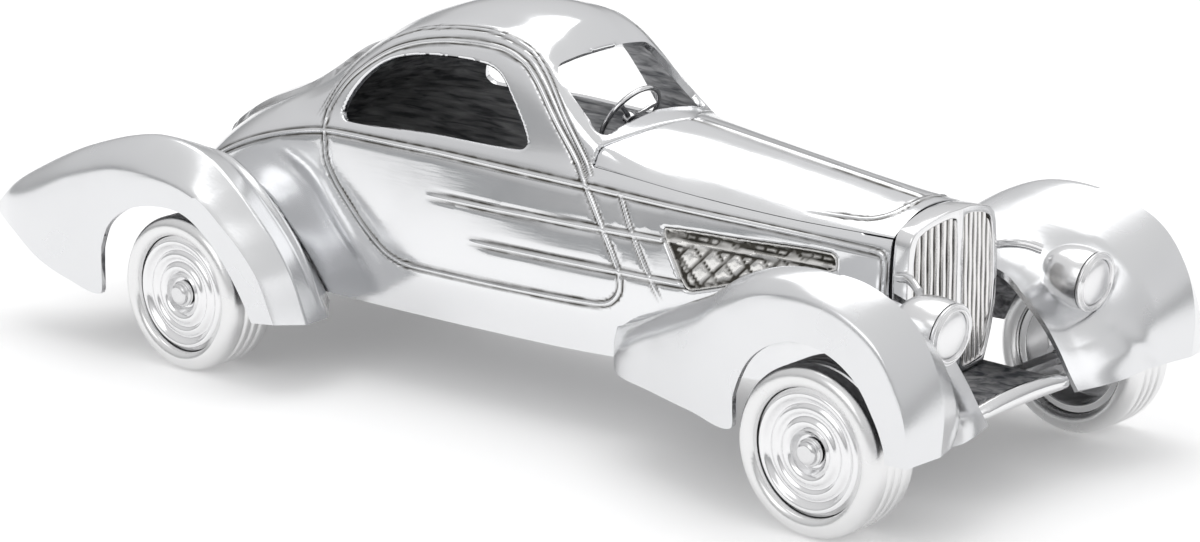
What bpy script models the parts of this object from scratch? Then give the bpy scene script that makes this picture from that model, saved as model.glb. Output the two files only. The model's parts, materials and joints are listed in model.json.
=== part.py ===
"""Cast-metal display model of a 1930s-style streamlined coupe, about one tenth scale.

Metres, +Z up. +X points to the nose and -Y is the car's right-hand side. The origin lies on the
surface that the wheels stand on, under the middle of the whole car.
The wheels turn on fixed axles. The doors, bonnet lines and boot lines are cast in and don't move.
"""

import bpy
import bmesh
import math
from mathutils import Vector

MM = 0.001

# Driving dimensions, in millimetres. Lengths along the car are measured from midway between the axles.
WHEELBASE = 300.0
MID_AXLE_X = 34.2            # from the origin to midway between the axles
WHEEL_RADIUS = 29.7
TYRE_WIDTH = 23.4
TYRE_FACE_Y = 86.0           # outer side of each tyre, from the centre line
WALL = 2.4                   # cast wall of the body
FENDER_WALL = 2.0
GAP = 0.4                    # between neighbouring pieces
AXLE_RADIUS = 2.5
RUNNING_GAP = 0.35           # between a turning wheel and what it turns on
PLATE_BOTTOM_Z = 34.0
PLATE_TOP_Z = 36.5
LEDGE_Z = (36.9, 39.4)       # the ledge inside the sills that the floor plate is screwed to
LEDGE_WIDTH = 6.0
BODY_NOSE_X = 139.2
BODY_TAIL_X = -234.0
SILL_Z = 29.0
TURNED_STEPS = 24            # flats round a turned piece
SIDES = (("right", -1), ("left", 1))

# The body's lines, from tail to nose: (x, half width, height).
SILL_LINE = [(-234, 3, 36), (-228, 10, 33.5), (-215, 21, 31.5), (-197, 31.5, 30), (-174, 38.5, 29),
             (-147, 42.5, 29), (-110, 45, 29), (-60, 45.5, 29), (0, 43.5, 29), (35, 40.5, 29.5),
             (60, 37.5, 30), (100, 31.5, 31), (140, 26, 34)]
FLANK_LINE = [(-234, 4, 38), (-228, 12, 38), (-215, 23, 41), (-197, 33.5, 45), (-174, 40.5, 49),
              (-147, 44.5, 52), (-110, 47, 54), (-60, 47.5, 55), (0, 45.5, 55), (35, 41.5, 55),
              (60, 38, 55), (100, 32, 55), (140, 27, 56)]
BELT_LINE = [(-234, 4, 39), (-228, 12, 42), (-215, 21.5, 47), (-197, 30.5, 58.6), (-174, 38.3, 72),
             (-147, 42.3, 83), (-116, 43.6, 90.6), (-97, 43.8, 91.6), (-58, 43.2, 91.6), (-18, 41, 90.2),
             (9, 38.6, 89), (38, 35.6, 87.4), (60, 33.6, 86.4), (101, 29.6, 84.8), (140, 26.4, 83.2)]
SHOULDER_LINE = [(-234, 3.4, 39.6), (-228, 10, 44.5), (-215, 17.5, 50.4), (-197, 25.8, 63.4),
                 (-174, 33.4, 77.2), (-147, 38.5, 88), (-116, 40.8, 96), (-97, 41.2, 97.6), (-58, 41, 97.8),
                 (-18, 38.6, 97.2), (0, 36.8, 96.6), (16, 34.6, 95.2), (60, 30.4, 90.8), (101, 27, 88.6), (140, 24.2, 88.4)]
RAIL_LINE = [(-234, 2, 40.2), (-228, 6.5, 46), (-215, 10.5, 52.6), (-197, 17.6, 67.6), (-174, 24.4, 82),
             (-147, 31, 93.6), (-130, 33.6, 98.6), (-116, 35.2, 105), (-103, 34.4, 114.5), (-85, 32.6, 125.5),
             (-58, 31.4, 132.4), (-33, 30.8, 133), (-19, 30.4, 128.4), (-10, 30.6, 122), (0, 30.8, 114),
             (11, 31, 105.6), (16, 30.6, 102.6), (35, 27, 98.6), (60, 23.4, 97), (101, 19.8, 94.2),
             (140, 17, 92.6)]
CENTRE_LINE = [(-234, 0, 40.6), (-228, 0, 45.4), (-220, 0, 51), (-209, 0, 61), (-197, 0, 73),
               (-174, 0, 87.8), (-150, 0, 97.4), (-141, 0, 101.8), (-130, 0, 109.4), (-114, 0, 120),
               (-96, 0, 130.4), (-75, 0, 138.4), (-60, 0, 141.8), (-42, 0, 143), (-30, 0, 141.6),
               (-20, 0, 137.6), (-14, 0, 132.4), (-9, 0, 127), (3, 0, 117.4), (13, 0, 110.2),
               (20, 0, 109.8), (35, 0, 108.9), (56, 0, 106.5), (97, 0, 101.6), (140, 0, 96.4)]
BODY_STATIONS = [-231, -225, -215, -203, -190, -174, -155, -136, -116, -103, -90, -75, -58, -42, -30, -22,
                 -15, -8, 2, 12, 20, 40, 70, 105]
CROWN_RISE = 0.74            # how much of the rise to the centre line is gained half way in

SIDE_WINDOW = [(-105.5, 99), (-100, 109.5), (-91, 117.5), (-80, 122.2), (-62, 125), (-40, 125.2),
               (-31.5, 122.8), (-25, 115.4), (-16.8, 103), (-15.8, 99.4), (-19, 97.4), (-60, 97.6),
               (-102, 96.2)]
# The windscreen opening: half of it, as (half width, distance up the glass from the cowl).
WINDSCREEN = [(0, 2), (20, 0.4), (26.6, -0.6), (29, 2), (28.6, 8), (27, 27), (25.6, 31), (22, 32.6), (0, 33)]
WINDSCREEN_FOOT = (13.0, 106.5)
WINDSCREEN_RAKE = math.radians(39)
# One pane of the split rear window: (half width, distance up the roof's back).
REAR_PANE = [(2, 0), (9, 0.6), (13.5, 3.5), (14.5, 7), (12, 10), (2, 11)]
REAR_WINDOW_FOOT = (-128.0, 111.0)
REAR_WINDOW_RAKE = math.radians(146)
VENT = [(47.5, 79.2), (116, 80.4), (118.2, 78.6), (117.4, 73), (60, 58.4), (58, 59.4)]

# The fenders, each as a list of rows from its tail to its front lower edge. A row runs across the fender:
# lower edge of the outer face, outer shoulder, crown, inner shoulder, and the edge beside the body.
# None for a width means that the edge follows the body's side.
FRONT_FENDER = [
    [(35, 49, 33), (35, 49, 37), (35.5, 48.6, 41), (36, 48, 43.6), (37, None, 45)],
    [(48, 62.5, 32), (49, 63, 40), (52, 60, 48), (54, 54, 51), (57, None, 51.5)],
    [(71, 71, 32), (72, 71.4, 49), (75, 67, 59.5), (77, 57, 62), (79, None, 60.5)],
    [(95, 79, 32), (96, 79.4, 60), (99, 73, 71.6), (101, 58, 72), (102, None, 67)],
    [(118, 85.6, 32), (112, 84, 70.6), (114, 75, 81.4), (115, 57.5, 77.5), (117, None, 69)],
    [(119.4, 86, 44), (126, 86, 78.6), (127, 74.5, 87), (127, 57, 79), (129, None, 69.4)],
    [(127, 86, 58.4), (139, 86, 82), (139, 74, 89.4), (139, 57, 79.6), (140, 28, 68.6)],
    [(141, 86, 66.6), (152, 86, 82.4), (152, 73.6, 89.6), (152, 57, 78.8), (149.5, 27.6, 66)],
    [(157, 86, 66.2), (165.5, 86, 79.2), (167, 73, 87.6), (166, 57, 76), (157.5, 26.6, 60.4)],
    [(170, 86, 59), (179, 86, 70.4), (183, 73, 80), (180, 57.4, 67.6), (166, 26.4, 52.6)],
    [(178.4, 86, 47), (187, 86, 58), (193, 73, 66.6), (188, 58, 57.6), (172.6, 26.2, 44)],
    [(182.2, 86, 38.4), (191, 86, 46), (197, 73, 51), (191, 58, 47), (177, 26, 37)],
    [(183, 86, 33), (191.6, 85.6, 33), (196, 73, 35), (189.6, 58, 33.4), (181, 26, 31)],
]
REAR_FENDER = [
    [(-263.6, 73.5, 39.6), (-264.6, 73.4, 42.4), (-265.6, 71.5, 44.6), (-264.6, 69, 43.4),
     (-263, 68.6, 40.4)],
    [(-249, 80.4, 37.6), (-251, 79.8, 48), (-252, 73.4, 55), (-251, 64, 51), (-248.6, 60, 40)],
    [(-231, 83.8, 29.6), (-233, 83.8, 54), (-234, 74, 64.8), (-233, 60, 59), (-230.6, 47, 44)],
    [(-211, 85.6, 24.6), (-213, 85.8, 63), (-214, 74, 74), (-213, 58, 67.6), (-211, None, 48)],
    [(-193, 86, 22.6), (-195, 86, 68.6), (-197, 74, 80), (-195, 57.4, 73.4), (-192, None, 54)],
    [(-192.6, 86, 36), (-184, 86, 71.6), (-184, 73.4, 83.6), (-183, 57, 76.6), (-180, None, 59.6)],
    [(-187.6, 86, 49.6), (-172, 86, 73.2), (-172, 73, 85.6), (-172, 57, 78.8), (-168, None, 63)],
    [(-177, 86, 58), (-159.6, 86, 73.6), (-158, 73, 85.4), (-160, 57.4, 79.6), (-157, None, 65)],
    [(-162, 86, 62), (-147, 86, 72), (-144, 73, 81.6), (-147, 58.4, 77.6), (-148, None, 64)],
    [(-146, 86, 61.6), (-136, 86, 68), (-132, 73, 74), (-133, 60, 71.6), (-139, None, 59.4)],
    [(-133, 86, 54.4), (-125, 86, 60.4), (-120.4, 73, 64), (-120.4, 60, 60.6), (-130, None, 51.6)],
    [(-123.4, 86, 45), (-115, 86, 52.4), (-110, 73, 54), (-110.6, 60, 49.6), (-122, None, 43)],
    [(-116, 86, 35), (-106.6, 86, 43), (-101.4, 73, 42.4), (-103.4, 60, 37.6), (-115, None, 33.6)],
    [(-110.6, 86, 26), (-99, 86, 27.4), (-94, 73, 25.6), (-96.4, 60, 25), (-110, None, 26.4)],
]
# How far the web between the crown and the body is hollowed, row by row.
FRONT_WEB_SAG = [0.5, 1.5, 2.2, 2.2, 2.2, 2.2, 3.5, 6, 8, 8.5, 7.5, 4, 1]
REAR_WEB_SAG = [0.3, 1, 1.5, 2, 2, 2, 2, 2, 2, 1.5, 1, 0.5, 0, 0]
FENDER_STEPS = 2             # spans between two rows of the lists above
FENDER_EDGE_GAP = 1.0        # between a fender's inner edge and the body's side
WEB_SHARES = (0.33, 0.67)    # where the web's own points lie between the crown and its edge

# Nose, lamps and cabin.
GRILLE_OUTLINE = [(0, 96), (12, 94.6), (21, 91.8), (24.2, 88.4), (25.8, 72), (25, 58), (20.5, 44), (17, 39)]
GRILLE_BACK_X = 139.6
GRILLE_CORNER_X = 146.4
GRILLE_RIB_X = 149.6
GRILLE_FRAME = 2.6
GRILLE_BARS = 7
LAMP_CENTRE = (177.0, 41.6, 65.4)
LAMP_TILT = math.radians(-7)
LAMP_RADIUS = 10.3
BASE_OF_GRILLE_Z = 37.2
GRILLE_FOOT = 17.0           # half width of the grille at its foot
DASH_HALF_WIDTH = 28.4
CUT_PAST = 9.0               # how far a cutter reaches past what it cuts


def set_up():
    for obj in list(bpy.data.objects):
        bpy.data.objects.remove(obj)


def metal(name, colour, roughness, metallic=1.0):
    material = bpy.data.materials.new(name)
    material.use_nodes = True
    shader = material.node_tree.nodes["Principled BSDF"]
    shader.inputs["Base Color"].default_value = (*colour, 1.0)
    shader.inputs["Roughness"].default_value = roughness
    shader.inputs["Metallic"].default_value = metallic
    return material


def place(point):
    """A design point, in millimetres from midway between the axles, as metres from the origin."""
    return Vector(((point[0] + MID_AXLE_X) * MM, point[1] * MM, point[2] * MM))


def along(line, x):
    """(half width, height) of a longitudinal line at x, on a smooth curve through its points."""
    last = len(line) - 1
    i = 0
    while i < last - 1 and x > line[i + 1][0]:
        i += 1
    a, b = line[i], line[i + 1]
    before = line[max(i - 1, 0)]
    after = line[min(i + 2, last)]
    span = b[0] - a[0]
    t = min(max((x - a[0]) / span, 0.0), 1.0)
    found = []
    for k in (1, 2):
        slope = (b[k] - a[k]) / span
        slope_in = limited((b[k] - before[k]) / (b[0] - before[0]), slope, i == 0)
        slope_out = limited((after[k] - a[k]) / (after[0] - a[0]), slope, i == last - 1)
        found.append(hermite(a[k], b[k], slope_in * span, slope_out * span, t))
    return found


def limited(tangent, slope, at_end):
    """A tangent kept below three times the slope of its own span, so that the curve never overshoots."""
    if at_end:
        return slope
    most = 3 * abs(slope)
    return max(-most, min(most, tangent))


def hermite(a, b, tangent_a, tangent_b, t):
    return ((2 * t**3 - 3 * t**2 + 1) * a + (t**3 - 2 * t**2 + t) * tangent_a
            + (3 * t**2 - 2 * t**3) * b + (t**3 - t**2) * tangent_b)


def body_section(x, inset=0.0):
    """The right half of the body's outline at x, from the sill up to the centre line, as (half width, z)."""
    sill, flank, belt, shoulder, rail, centre = (
        along(line, x)
        for line in (SILL_LINE, FLANK_LINE, BELT_LINE, SHOULDER_LINE, RAIL_LINE, CENTRE_LINE)
    )
    crown = [rail[0] * 0.52, rail[1] + (centre[1] - rail[1]) * CROWN_RISE]
    points = [sill, flank, belt, shoulder, rail, crown, centre]
    return [(max(w - inset, 0.0), z - inset * min(1.0, max(0.0, (z - belt[1]) / 8.0)))
            for w, z in points]


def half_width(x, z):
    """Half the width of the body at x, at the height z."""
    points = body_section(min(max(x, BODY_TAIL_X), 140.0))
    if z <= points[0][1]:
        return points[0][0]
    for (w1, z1), (w2, z2) in zip(points, points[1:]):
        if z <= z2:
            return w1 + (w2 - w1) * (z - z1) / (z2 - z1)
    return 0.0


def new_object(name, mesh_data, material):
    mesh = bpy.data.meshes.new(name)
    mesh_data.normal_update()
    mesh_data.to_mesh(mesh)
    mesh_data.free()
    obj = bpy.data.objects.new(name, mesh)
    bpy.context.scene.collection.objects.link(obj)
    if material:
        mesh.materials.append(material)
    mesh.shade_smooth()
    mesh.set_sharp_from_angle(angle=math.radians(32))
    return obj


def hide(obj):
    obj.hide_render = True
    obj.display_type = "WIRE"
    return obj


def boolean(obj, operation, other):
    modifier = obj.modifiers.new(other.name, "BOOLEAN")
    modifier.operation = operation
    modifier.solver = "EXACT"
    modifier.object = hide(other)


def loft(name, sections, material):
    """A closed solid through a list of closed sections with the same number of points each."""
    data = bmesh.new()
    rings = [[data.verts.new(place(p)) for p in section] for section in sections]
    for first, second in zip(rings, rings[1:]):
        for i in range(len(first)):
            j = (i + 1) % len(first)
            data.faces.new((first[i], first[j], second[j], second[i]))
    data.faces.new(list(reversed(rings[0])))
    data.faces.new(rings[-1])
    bmesh.ops.recalc_face_normals(data, faces=data.faces)
    return new_object(name, data, material)


def prism(name, outline, direction, origin, axes, material=None):
    """An outline in the plane of two axes, extruded both ways along a direction."""
    sections = []
    for end in direction:
        sections.append([origin + axes[0] * u + axes[1] * v + end for u, v in outline])
    return loft(name, sections, material)


def side_prism(name, outline, y_from, y_to, material=None):
    """An (x, z) outline extruded across the car."""
    ends = (Vector((0, y_from, 0)), Vector((0, y_to, 0)))
    return prism(name, outline, ends, Vector((0, 0, 0)), (Vector((1, 0, 0)), Vector((0, 0, 1))), material)


def plan_prism(name, outline, z_from, z_to, material=None):
    """An (x, y) outline extruded upwards."""
    ends = (Vector((0, 0, z_from)), Vector((0, 0, z_to)))
    return prism(name, outline, ends, Vector((0, 0, 0)), (Vector((1, 0, 0)), Vector((0, 1, 0))), material)


def box(name, low, high, material=None):
    outline = [(low[0], low[1]), (high[0], low[1]), (high[0], high[1]), (low[0], high[1])]
    return plan_prism(name, outline, low[2], high[2], material)


def turned(name, profile, centre, axis, material, steps=TURNED_STEPS):
    """A turned solid: profile is a closed loop of (radius, distance along the axis); radius 0 is on it."""
    axis = Vector(axis).normalized()
    side = axis.orthogonal().normalized()
    other = axis.cross(side)
    data = bmesh.new()
    rings = []
    for radius, distance in profile:
        middle = Vector(centre) + axis * distance
        if radius == 0:
            rings.append([data.verts.new(place(middle))] * steps)
            continue
        turns = [2 * math.pi * k / steps for k in range(steps)]
        rings.append([
            data.verts.new(place(middle + (side * math.cos(a) + other * math.sin(a)) * radius)) for a in turns
        ])
    for i, first in enumerate(rings):
        second = rings[(i + 1) % len(rings)]
        for k in range(steps):
            corners = (first[k], first[(k + 1) % steps], second[(k + 1) % steps], second[k])
            corners = tuple(dict.fromkeys(corners))
            if len(corners) > 2:
                data.faces.new(corners)
    bmesh.ops.recalc_face_normals(data, faces=data.faces)
    return new_object(name, data, material)


def tube(name, points, radius, material, sides=10):
    """A round bar along a path, as a curve with filled ends."""
    curve = bpy.data.curves.new(name, "CURVE")
    curve.dimensions = "3D"
    curve.bevel_depth = radius * MM
    curve.bevel_resolution = (sides - 4) // 2
    curve.use_fill_caps = True
    spline = curve.splines.new("POLY")
    spline.points.add(len(points) - 1)
    for knot, point in zip(spline.points, points):
        knot.co = (*place(point), 1)
    obj = bpy.data.objects.new(name, curve)
    bpy.context.scene.collection.objects.link(obj)
    curve.materials.append(material)
    return obj


# Body shell and bonnet

def body_loft(name, material, inset=0.0, floor_z=SILL_Z, x_from=BODY_TAIL_X, x_to=BODY_NOSE_X):
    """The whole body as a solid; an inset makes it smaller all round for the hollow inside."""
    stations = [x for x in BODY_STATIONS if x_from < x < x_to]
    sections = []
    for x in [x_from, *stations, x_to]:
        half = body_section(x, inset)
        half[0] = (half[0][0], half[0][1] if inset == 0 else floor_z)
        right = [(x, -w, z) for w, z in half]
        left = [(x, w, z) for w, z in reversed(half[:-1])]
        sections.append(right + left)
    return loft(name, sections, material)


def windscreen_cutter():
    up = Vector((-math.cos(WINDSCREEN_RAKE), 0, math.sin(WINDSCREEN_RAKE)))
    outward = Vector((math.sin(WINDSCREEN_RAKE), 0, math.cos(WINDSCREEN_RAKE)))
    outline = [(w, s) for w, s in WINDSCREEN] + [(-w, s) for w, s in reversed(WINDSCREEN[1:-1])]
    foot = Vector((WINDSCREEN_FOOT[0], 0, WINDSCREEN_FOOT[1]))
    reach = (outward * -CUT_PAST, outward * 16)
    return prism("windscreen_cutter", outline, reach, foot, (Vector((0, 1, 0)), up))


def rear_pane_cutter(side, sign):
    up = Vector((-math.cos(REAR_WINDOW_RAKE), 0, math.sin(REAR_WINDOW_RAKE)))
    outward = Vector((-math.sin(REAR_WINDOW_RAKE), 0, -math.cos(REAR_WINDOW_RAKE)))
    outline = [(w * sign, s) for w, s in REAR_PANE]
    foot = Vector((REAR_WINDOW_FOOT[0], 0, REAR_WINDOW_FOOT[1]))
    return prism("rear_pane_cutter_" + side, outline, (outward * -CUT_PAST, outward * CUT_PAST), foot,
                 (Vector((0, 1, 0)), up))


def bonnet_region(name, gap):
    """The block of space that holds the bonnet: ahead of the cowl line and above the hinge crease."""
    across = [-45, -30, -15, 0, 15, 30, 45]
    lengths = [0, 0.25, 0.5, 0.75, 1]
    sections = []
    for y in across:
        rear = 30.5 - abs(y) * 0.5 - gap
        front = BODY_NOSE_X + 3
        xs = [rear + (front - rear) * t for t in lengths]
        low = [(x, y, along(SHOULDER_LINE, x)[1] - gap) for x in xs]
        high = [(x, y, 135) for x in reversed(xs)]
        sections.append(low + high)
    return loft(name, sections, None)


def make_body(material):
    body = body_loft("body_shell", material)
    upper = body_loft("cabin_hollow", None, WALL, LEDGE_Z[1], BODY_TAIL_X + 9, BODY_NOSE_X + 2)
    boolean(body, "DIFFERENCE", upper)
    recess = plate_outline(-GAP, BODY_NOSE_X + 2)
    boolean(body, "DIFFERENCE", plan_prism("plate_recess", recess, SILL_Z - CUT_PAST, LEDGE_Z[0]))
    opening = plate_outline(LEDGE_WIDTH, BODY_NOSE_X + 2)
    boolean(body, "DIFFERENCE", plan_prism("floor_opening", opening, SILL_Z - CUT_PAST, LEDGE_Z[1] + 6))
    boolean(body, "DIFFERENCE", side_prism("side_window_cutter", SIDE_WINDOW, -60, 60))
    boolean(body, "DIFFERENCE", windscreen_cutter())
    for side, sign in SIDES:
        boolean(body, "DIFFERENCE", rear_pane_cutter(side, sign))
        vent = side_prism("vent_cutter_" + side, VENT, sign * 15, sign * 60)
        boolean(body, "DIFFERENCE", vent)
    slot_half = AXLE_RADIUS + 1.2
    rear_x = -WHEELBASE / 2
    slot = box("axle_slot", (rear_x - slot_half, -60, SILL_Z - CUT_PAST),
               (rear_x + slot_half, 60, WHEEL_RADIUS + slot_half))
    boolean(body, "DIFFERENCE", slot)
    boolean(body, "DIFFERENCE", bonnet_region("bonnet_gap", GAP / 2))
    bonnet = body_loft("bonnet", material, x_from=0.0)
    hollow = body_loft("bonnet_hollow", None, WALL, 20.0, -20.0, BODY_NOSE_X + 2)
    boolean(bonnet, "DIFFERENCE", hollow)
    boolean(bonnet, "INTERSECT", bonnet_region("bonnet_block", -GAP / 2))


def plate_outline(inset, front_x=134):
    """The floor plate's outline, seen from above."""
    stations = [-205 - GAP * (inset < 0), -190, -170, -140, -100, -50, 0, 40, 80, 110, front_x]
    right = [(x, -(along(SILL_LINE, x)[0] - WALL - GAP - inset)) for x in stations]
    left = [(x, -y) for x, y in reversed(right)]
    return right + left


# Floor plate, running gear and wheels

def make_floor(material, steel):
    tongue = [(134, -21), (172, -19), (172, 19), (134, 21)]
    outline = plate_outline(0)
    half = len(outline) // 2
    outline = outline[:half] + tongue + outline[half:]
    plate = plan_prism("floor_plate", outline, PLATE_BOTTOM_Z, PLATE_TOP_Z, material)
    for i, (x, sign) in enumerate([(-170, -1), (-170, 1), (92, -1), (92, 1)]):
        y = sign * (along(SILL_LINE, x)[0] - WALL - GAP - LEDGE_WIDTH / 2)
        hole = [(1.6, -3), (1.6, 0.9), (1.6, 9), (0, 9), (0, -3)]
        sink = [(0, -3), (3.2, -3), (3.2, 1.0), (1.6, 1.0), (1.6, 9), (0, 9)]
        boolean(plate, "DIFFERENCE",
                turned(f"screw_hole_{i + 1}", sink, (x, y, PLATE_BOTTOM_Z), (0, 0, 1), None, 12))
        boolean(bpy.data.objects["body_shell"], "DIFFERENCE",
                turned(f"screw_thread_{i + 1}", hole, (x, y, LEDGE_Z[0]), (0, 0, 1), None, 12))
        screw = [(0, 0.1), (2.8, 0.1), (2.8, 0.8), (1.25, 0.8), (1.25, 5.0), (0, 5.0)]
        turned(f"floor_screw_{i + 1}", screw, (x, y, PLATE_BOTTOM_Z), (0, 0, 1), steel, 12)


def make_running_gear(cast, steel):
    for end, x in (("front", WHEELBASE / 2), ("rear", -WHEELBASE / 2)):
        carrier = box(f"{end}_axle_carrier", (x - 8, -19, WHEEL_RADIUS - 6.5),
                      (x + 8, 19, PLATE_BOTTOM_Z - GAP), cast)
        bore = AXLE_RADIUS + RUNNING_GAP
        bore_profile = [(0, -25), (bore, -25), (bore, 25), (0, 25)]
        boolean(carrier, "DIFFERENCE",
                turned(f"{end}_carrier_bore", bore_profile, (x, 0, WHEEL_RADIUS), (0, 1, 0), None, 16))
        reach = TYRE_FACE_Y - 2.6
        axle = [(0, -reach), (AXLE_RADIUS, -reach), (AXLE_RADIUS, reach), (0, reach)]
        turned(f"{end}_axle", axle, (x, 0, WHEEL_RADIUS), (0, 1, 0), steel, 16)
        for side, sign in SIDES:
            make_wheel(f"{end}_{side}", x, sign, cast, steel)


def make_wheel(place_name, x, sign, cast, steel):
    """One wheel. Profiles run outwards from the tyre's outer face, as (radius, distance outwards)."""
    centre = (x, sign * TYRE_FACE_Y, WHEEL_RADIUS)
    outward = (0, sign, 0)
    r = WHEEL_RADIUS
    w = -TYRE_WIDTH
    groove = 1.0
    tyre = [(22.4, -1.6), (24, -0.3), (26.6, 0), (28.4, -1.1), (r, -3.2)]
    for start in (-7.4, -11.5, -15.6):
        tyre += [(r, start + 0.7), (r - groove, start - 0.3), (r, start - 1.3)]
    tyre += [(r, w + 3.2), (28.4, w + 1.1), (26.6, w), (22.4, w + 1)]
    turned(f"tyre_{place_name}", tyre, centre, outward, cast)
    bore = AXLE_RADIUS + RUNNING_GAP
    disc = [(bore, -4.2), (6.6, -4.2), (7.2, -2.4), (10.2, -1.4), (13.5, -2.0), (16.4, -2.6), (19, -1.3),
            (22.4 - GAP, -1.9), (22.4 - GAP, w + 3), (19.4, w + 3), (19.4, -6.4), (8, -6.6), (6, w + 0.2),
            (bore, w + 0.2)]
    turned(f"wheel_{place_name}", disc, centre, outward, cast)
    nut = [(0, -0.2), (2.6, -0.2), (4.4, -0.9), (4.8, -2.0), (4.8, -3.7), (AXLE_RADIUS + GAP, -3.7),
           (AXLE_RADIUS + GAP, -2.2), (0, -2.2)]
    turned(f"hub_nut_{place_name}", nut, centre, outward, steel, 16)
    collar = [(AXLE_RADIUS + GAP, w - 0.3), (4.8, w - 0.3), (4.8, w - 4.5), (AXLE_RADIUS + GAP, w - 4.5)]
    turned(f"axle_collar_{place_name}", collar, centre, outward, steel, 16)


# Fenders

def smooth_rows(rows):
    """The rows of a fender with more rows between them, on smooth curves along the fender."""
    filled = [[(p[0], half_width(p[0], p[2]) if p[1] is None else p[1], p[2]) for p in row] for row in rows]
    result = []
    for i in range(len(filled) - 1):
        before = filled[max(i - 1, 0)]
        after = filled[min(i + 2, len(filled) - 1)]
        for step in range(FENDER_STEPS):
            t = step / FENDER_STEPS
            result.append([
                blend(before[k], filled[i][k], filled[i + 1][k], after[k], t) for k in range(len(before))
            ])
    result.append([Vector(p) for p in filled[-1]])
    return result


def blend(before, a, b, after, t):
    """A point on the Catmull-Rom curve through four points, between the middle two."""
    before, a, b, after = (Vector(p) for p in (before, a, b, after))
    return ((2 * t**3 - 3 * t**2 + 1) * a + (t**3 - 2 * t**2 + t) * (b - before) / 2
            + (3 * t**2 - 2 * t**3) * b + (t**3 - t**2) * (after - a) / 2)


def across_fender(row, sag):
    """The points across a fender at one row: flat outer face, round crown, and the web to the body."""
    low, outer, crown, inner, edge = row
    face = (outer - low).normalized()
    over = (inner - outer).normalized()
    first = (crown - outer).length
    second = (inner - crown).length
    rise = hermite(outer, crown, face * first, over * first, 0.5)
    fall = hermite(crown, inner, over * second, (inner - crown), 0.5)
    web = [inner.lerp(edge, t) + Vector((-0.4, 0, -1)) * sag for t in WEB_SHARES]
    for point in (*web, edge):
        if BODY_TAIL_X < point.x < 141:
            point.y = max(point.y, half_width(point.x, point.z) + FENDER_EDGE_GAP)
    return [low, outer, rise, crown, fall, inner, *web, edge]


def make_fender(name, rows, sags, sign, material):
    grid = []
    for i, row in enumerate(smooth_rows(rows)):
        k, step = divmod(i, FENDER_STEPS)
        following = sags[min(k + 1, len(sags) - 1)]
        grid.append(across_fender(row, sags[k] + (following - sags[k]) * step / FENDER_STEPS))
    data = bmesh.new()
    verts = [[data.verts.new(place((p.x, p.y * sign, p.z))) for p in row] for row in grid]
    for first, second in zip(verts, verts[1:]):
        for k in range(len(first) - 1):
            corners = [first[k], first[k + 1], second[k + 1], second[k]]
            data.faces.new(corners if sign > 0 else list(reversed(corners)))
    obj = new_object(name, data, material)
    wall = obj.modifiers.new("wall", "SOLIDIFY")
    wall.thickness = FENDER_WALL * MM
    wall.offset = -1
    return obj


# Nose: grille, lamps and apron

def grille_front_x(y):
    """The grille is a shallow V seen from above, with its ridge on the centre line."""
    return GRILLE_RIB_X - (GRILLE_RIB_X - GRILLE_CORNER_X) * min(abs(y) / 25.0, 1.2)


def grille_loop(inset):
    right = [(-(w - inset * (w > 0)), z - inset * (z > 86)) for w, z in GRILLE_OUTLINE]
    left = [(-y, z) for y, z in reversed(right[1:])]
    foot = [(-GRILLE_FOOT + inset, BASE_OF_GRILLE_Z), (GRILLE_FOOT - inset, BASE_OF_GRILLE_Z)]
    return right + foot + left


def make_grille(material, dark):
    outer = grille_loop(0)
    opening = grille_loop(GRILLE_FRAME)
    sections = [
        [(GRILLE_BACK_X, y, z) for y, z in outer],
        [(grille_front_x(y) - 1.4, y, z) for y, z in outer],
        [(grille_front_x(y), y * 0.96, z - (1 if z > 86 else 0)) for y, z in outer],
    ]
    shell = loft("grille_shell", sections, material)
    through = [[(x, y, z) for y, z in opening] for x in (GRILLE_BACK_X - 5, GRILLE_RIB_X + 5)]
    boolean(shell, "DIFFERENCE", loft("grille_opening", through, None))
    rib = [(GRILLE_RIB_X + 0.8, 0), (GRILLE_RIB_X - 0.9, -1.4), (GRILLE_BACK_X + 2, -1.4),
           (GRILLE_BACK_X + 2, 1.4), (GRILLE_RIB_X - 0.9, 1.4)]
    plan_prism("grille_centre_rib", rib, BASE_OF_GRILLE_Z + GAP, 96 - GRILLE_FRAME - GAP, material)
    for side, sign in SIDES:
        make_grille_insert(side, sign, dark)


def make_grille_insert(side, sign, dark):
    """Upright bars cast on a thin backing sheet, one insert on each side of the rib."""
    inner_y = 1.4 + GAP
    outer_y = 24.0
    pitch = (outer_y - inner_y) / GRILLE_BARS
    front = []
    for k in range(GRILLE_BARS):
        y = inner_y + k * pitch
        for share, depth in ((0.02, 3.4), (0.24, 1.2), (0.62, 1.2), (0.84, 3.4)):
            spot = y + share * pitch
            front.append((grille_front_x(spot) - depth, sign * spot))
    back = [(GRILLE_BACK_X + 1, sign * outer_y), (GRILLE_BACK_X + 1, sign * inner_y)]
    insert = plan_prism(f"grille_bars_{side}", front + back, BASE_OF_GRILLE_Z + GAP, 100, dark)
    inside = grille_loop(GRILLE_FRAME + GAP)
    keep = [[(x, y, z) for y, z in inside] for x in (GRILLE_BACK_X - 5, GRILLE_RIB_X + 5)]
    boolean(insert, "INTERSECT", loft(f"grille_keep_{side}", keep, None))


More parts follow.
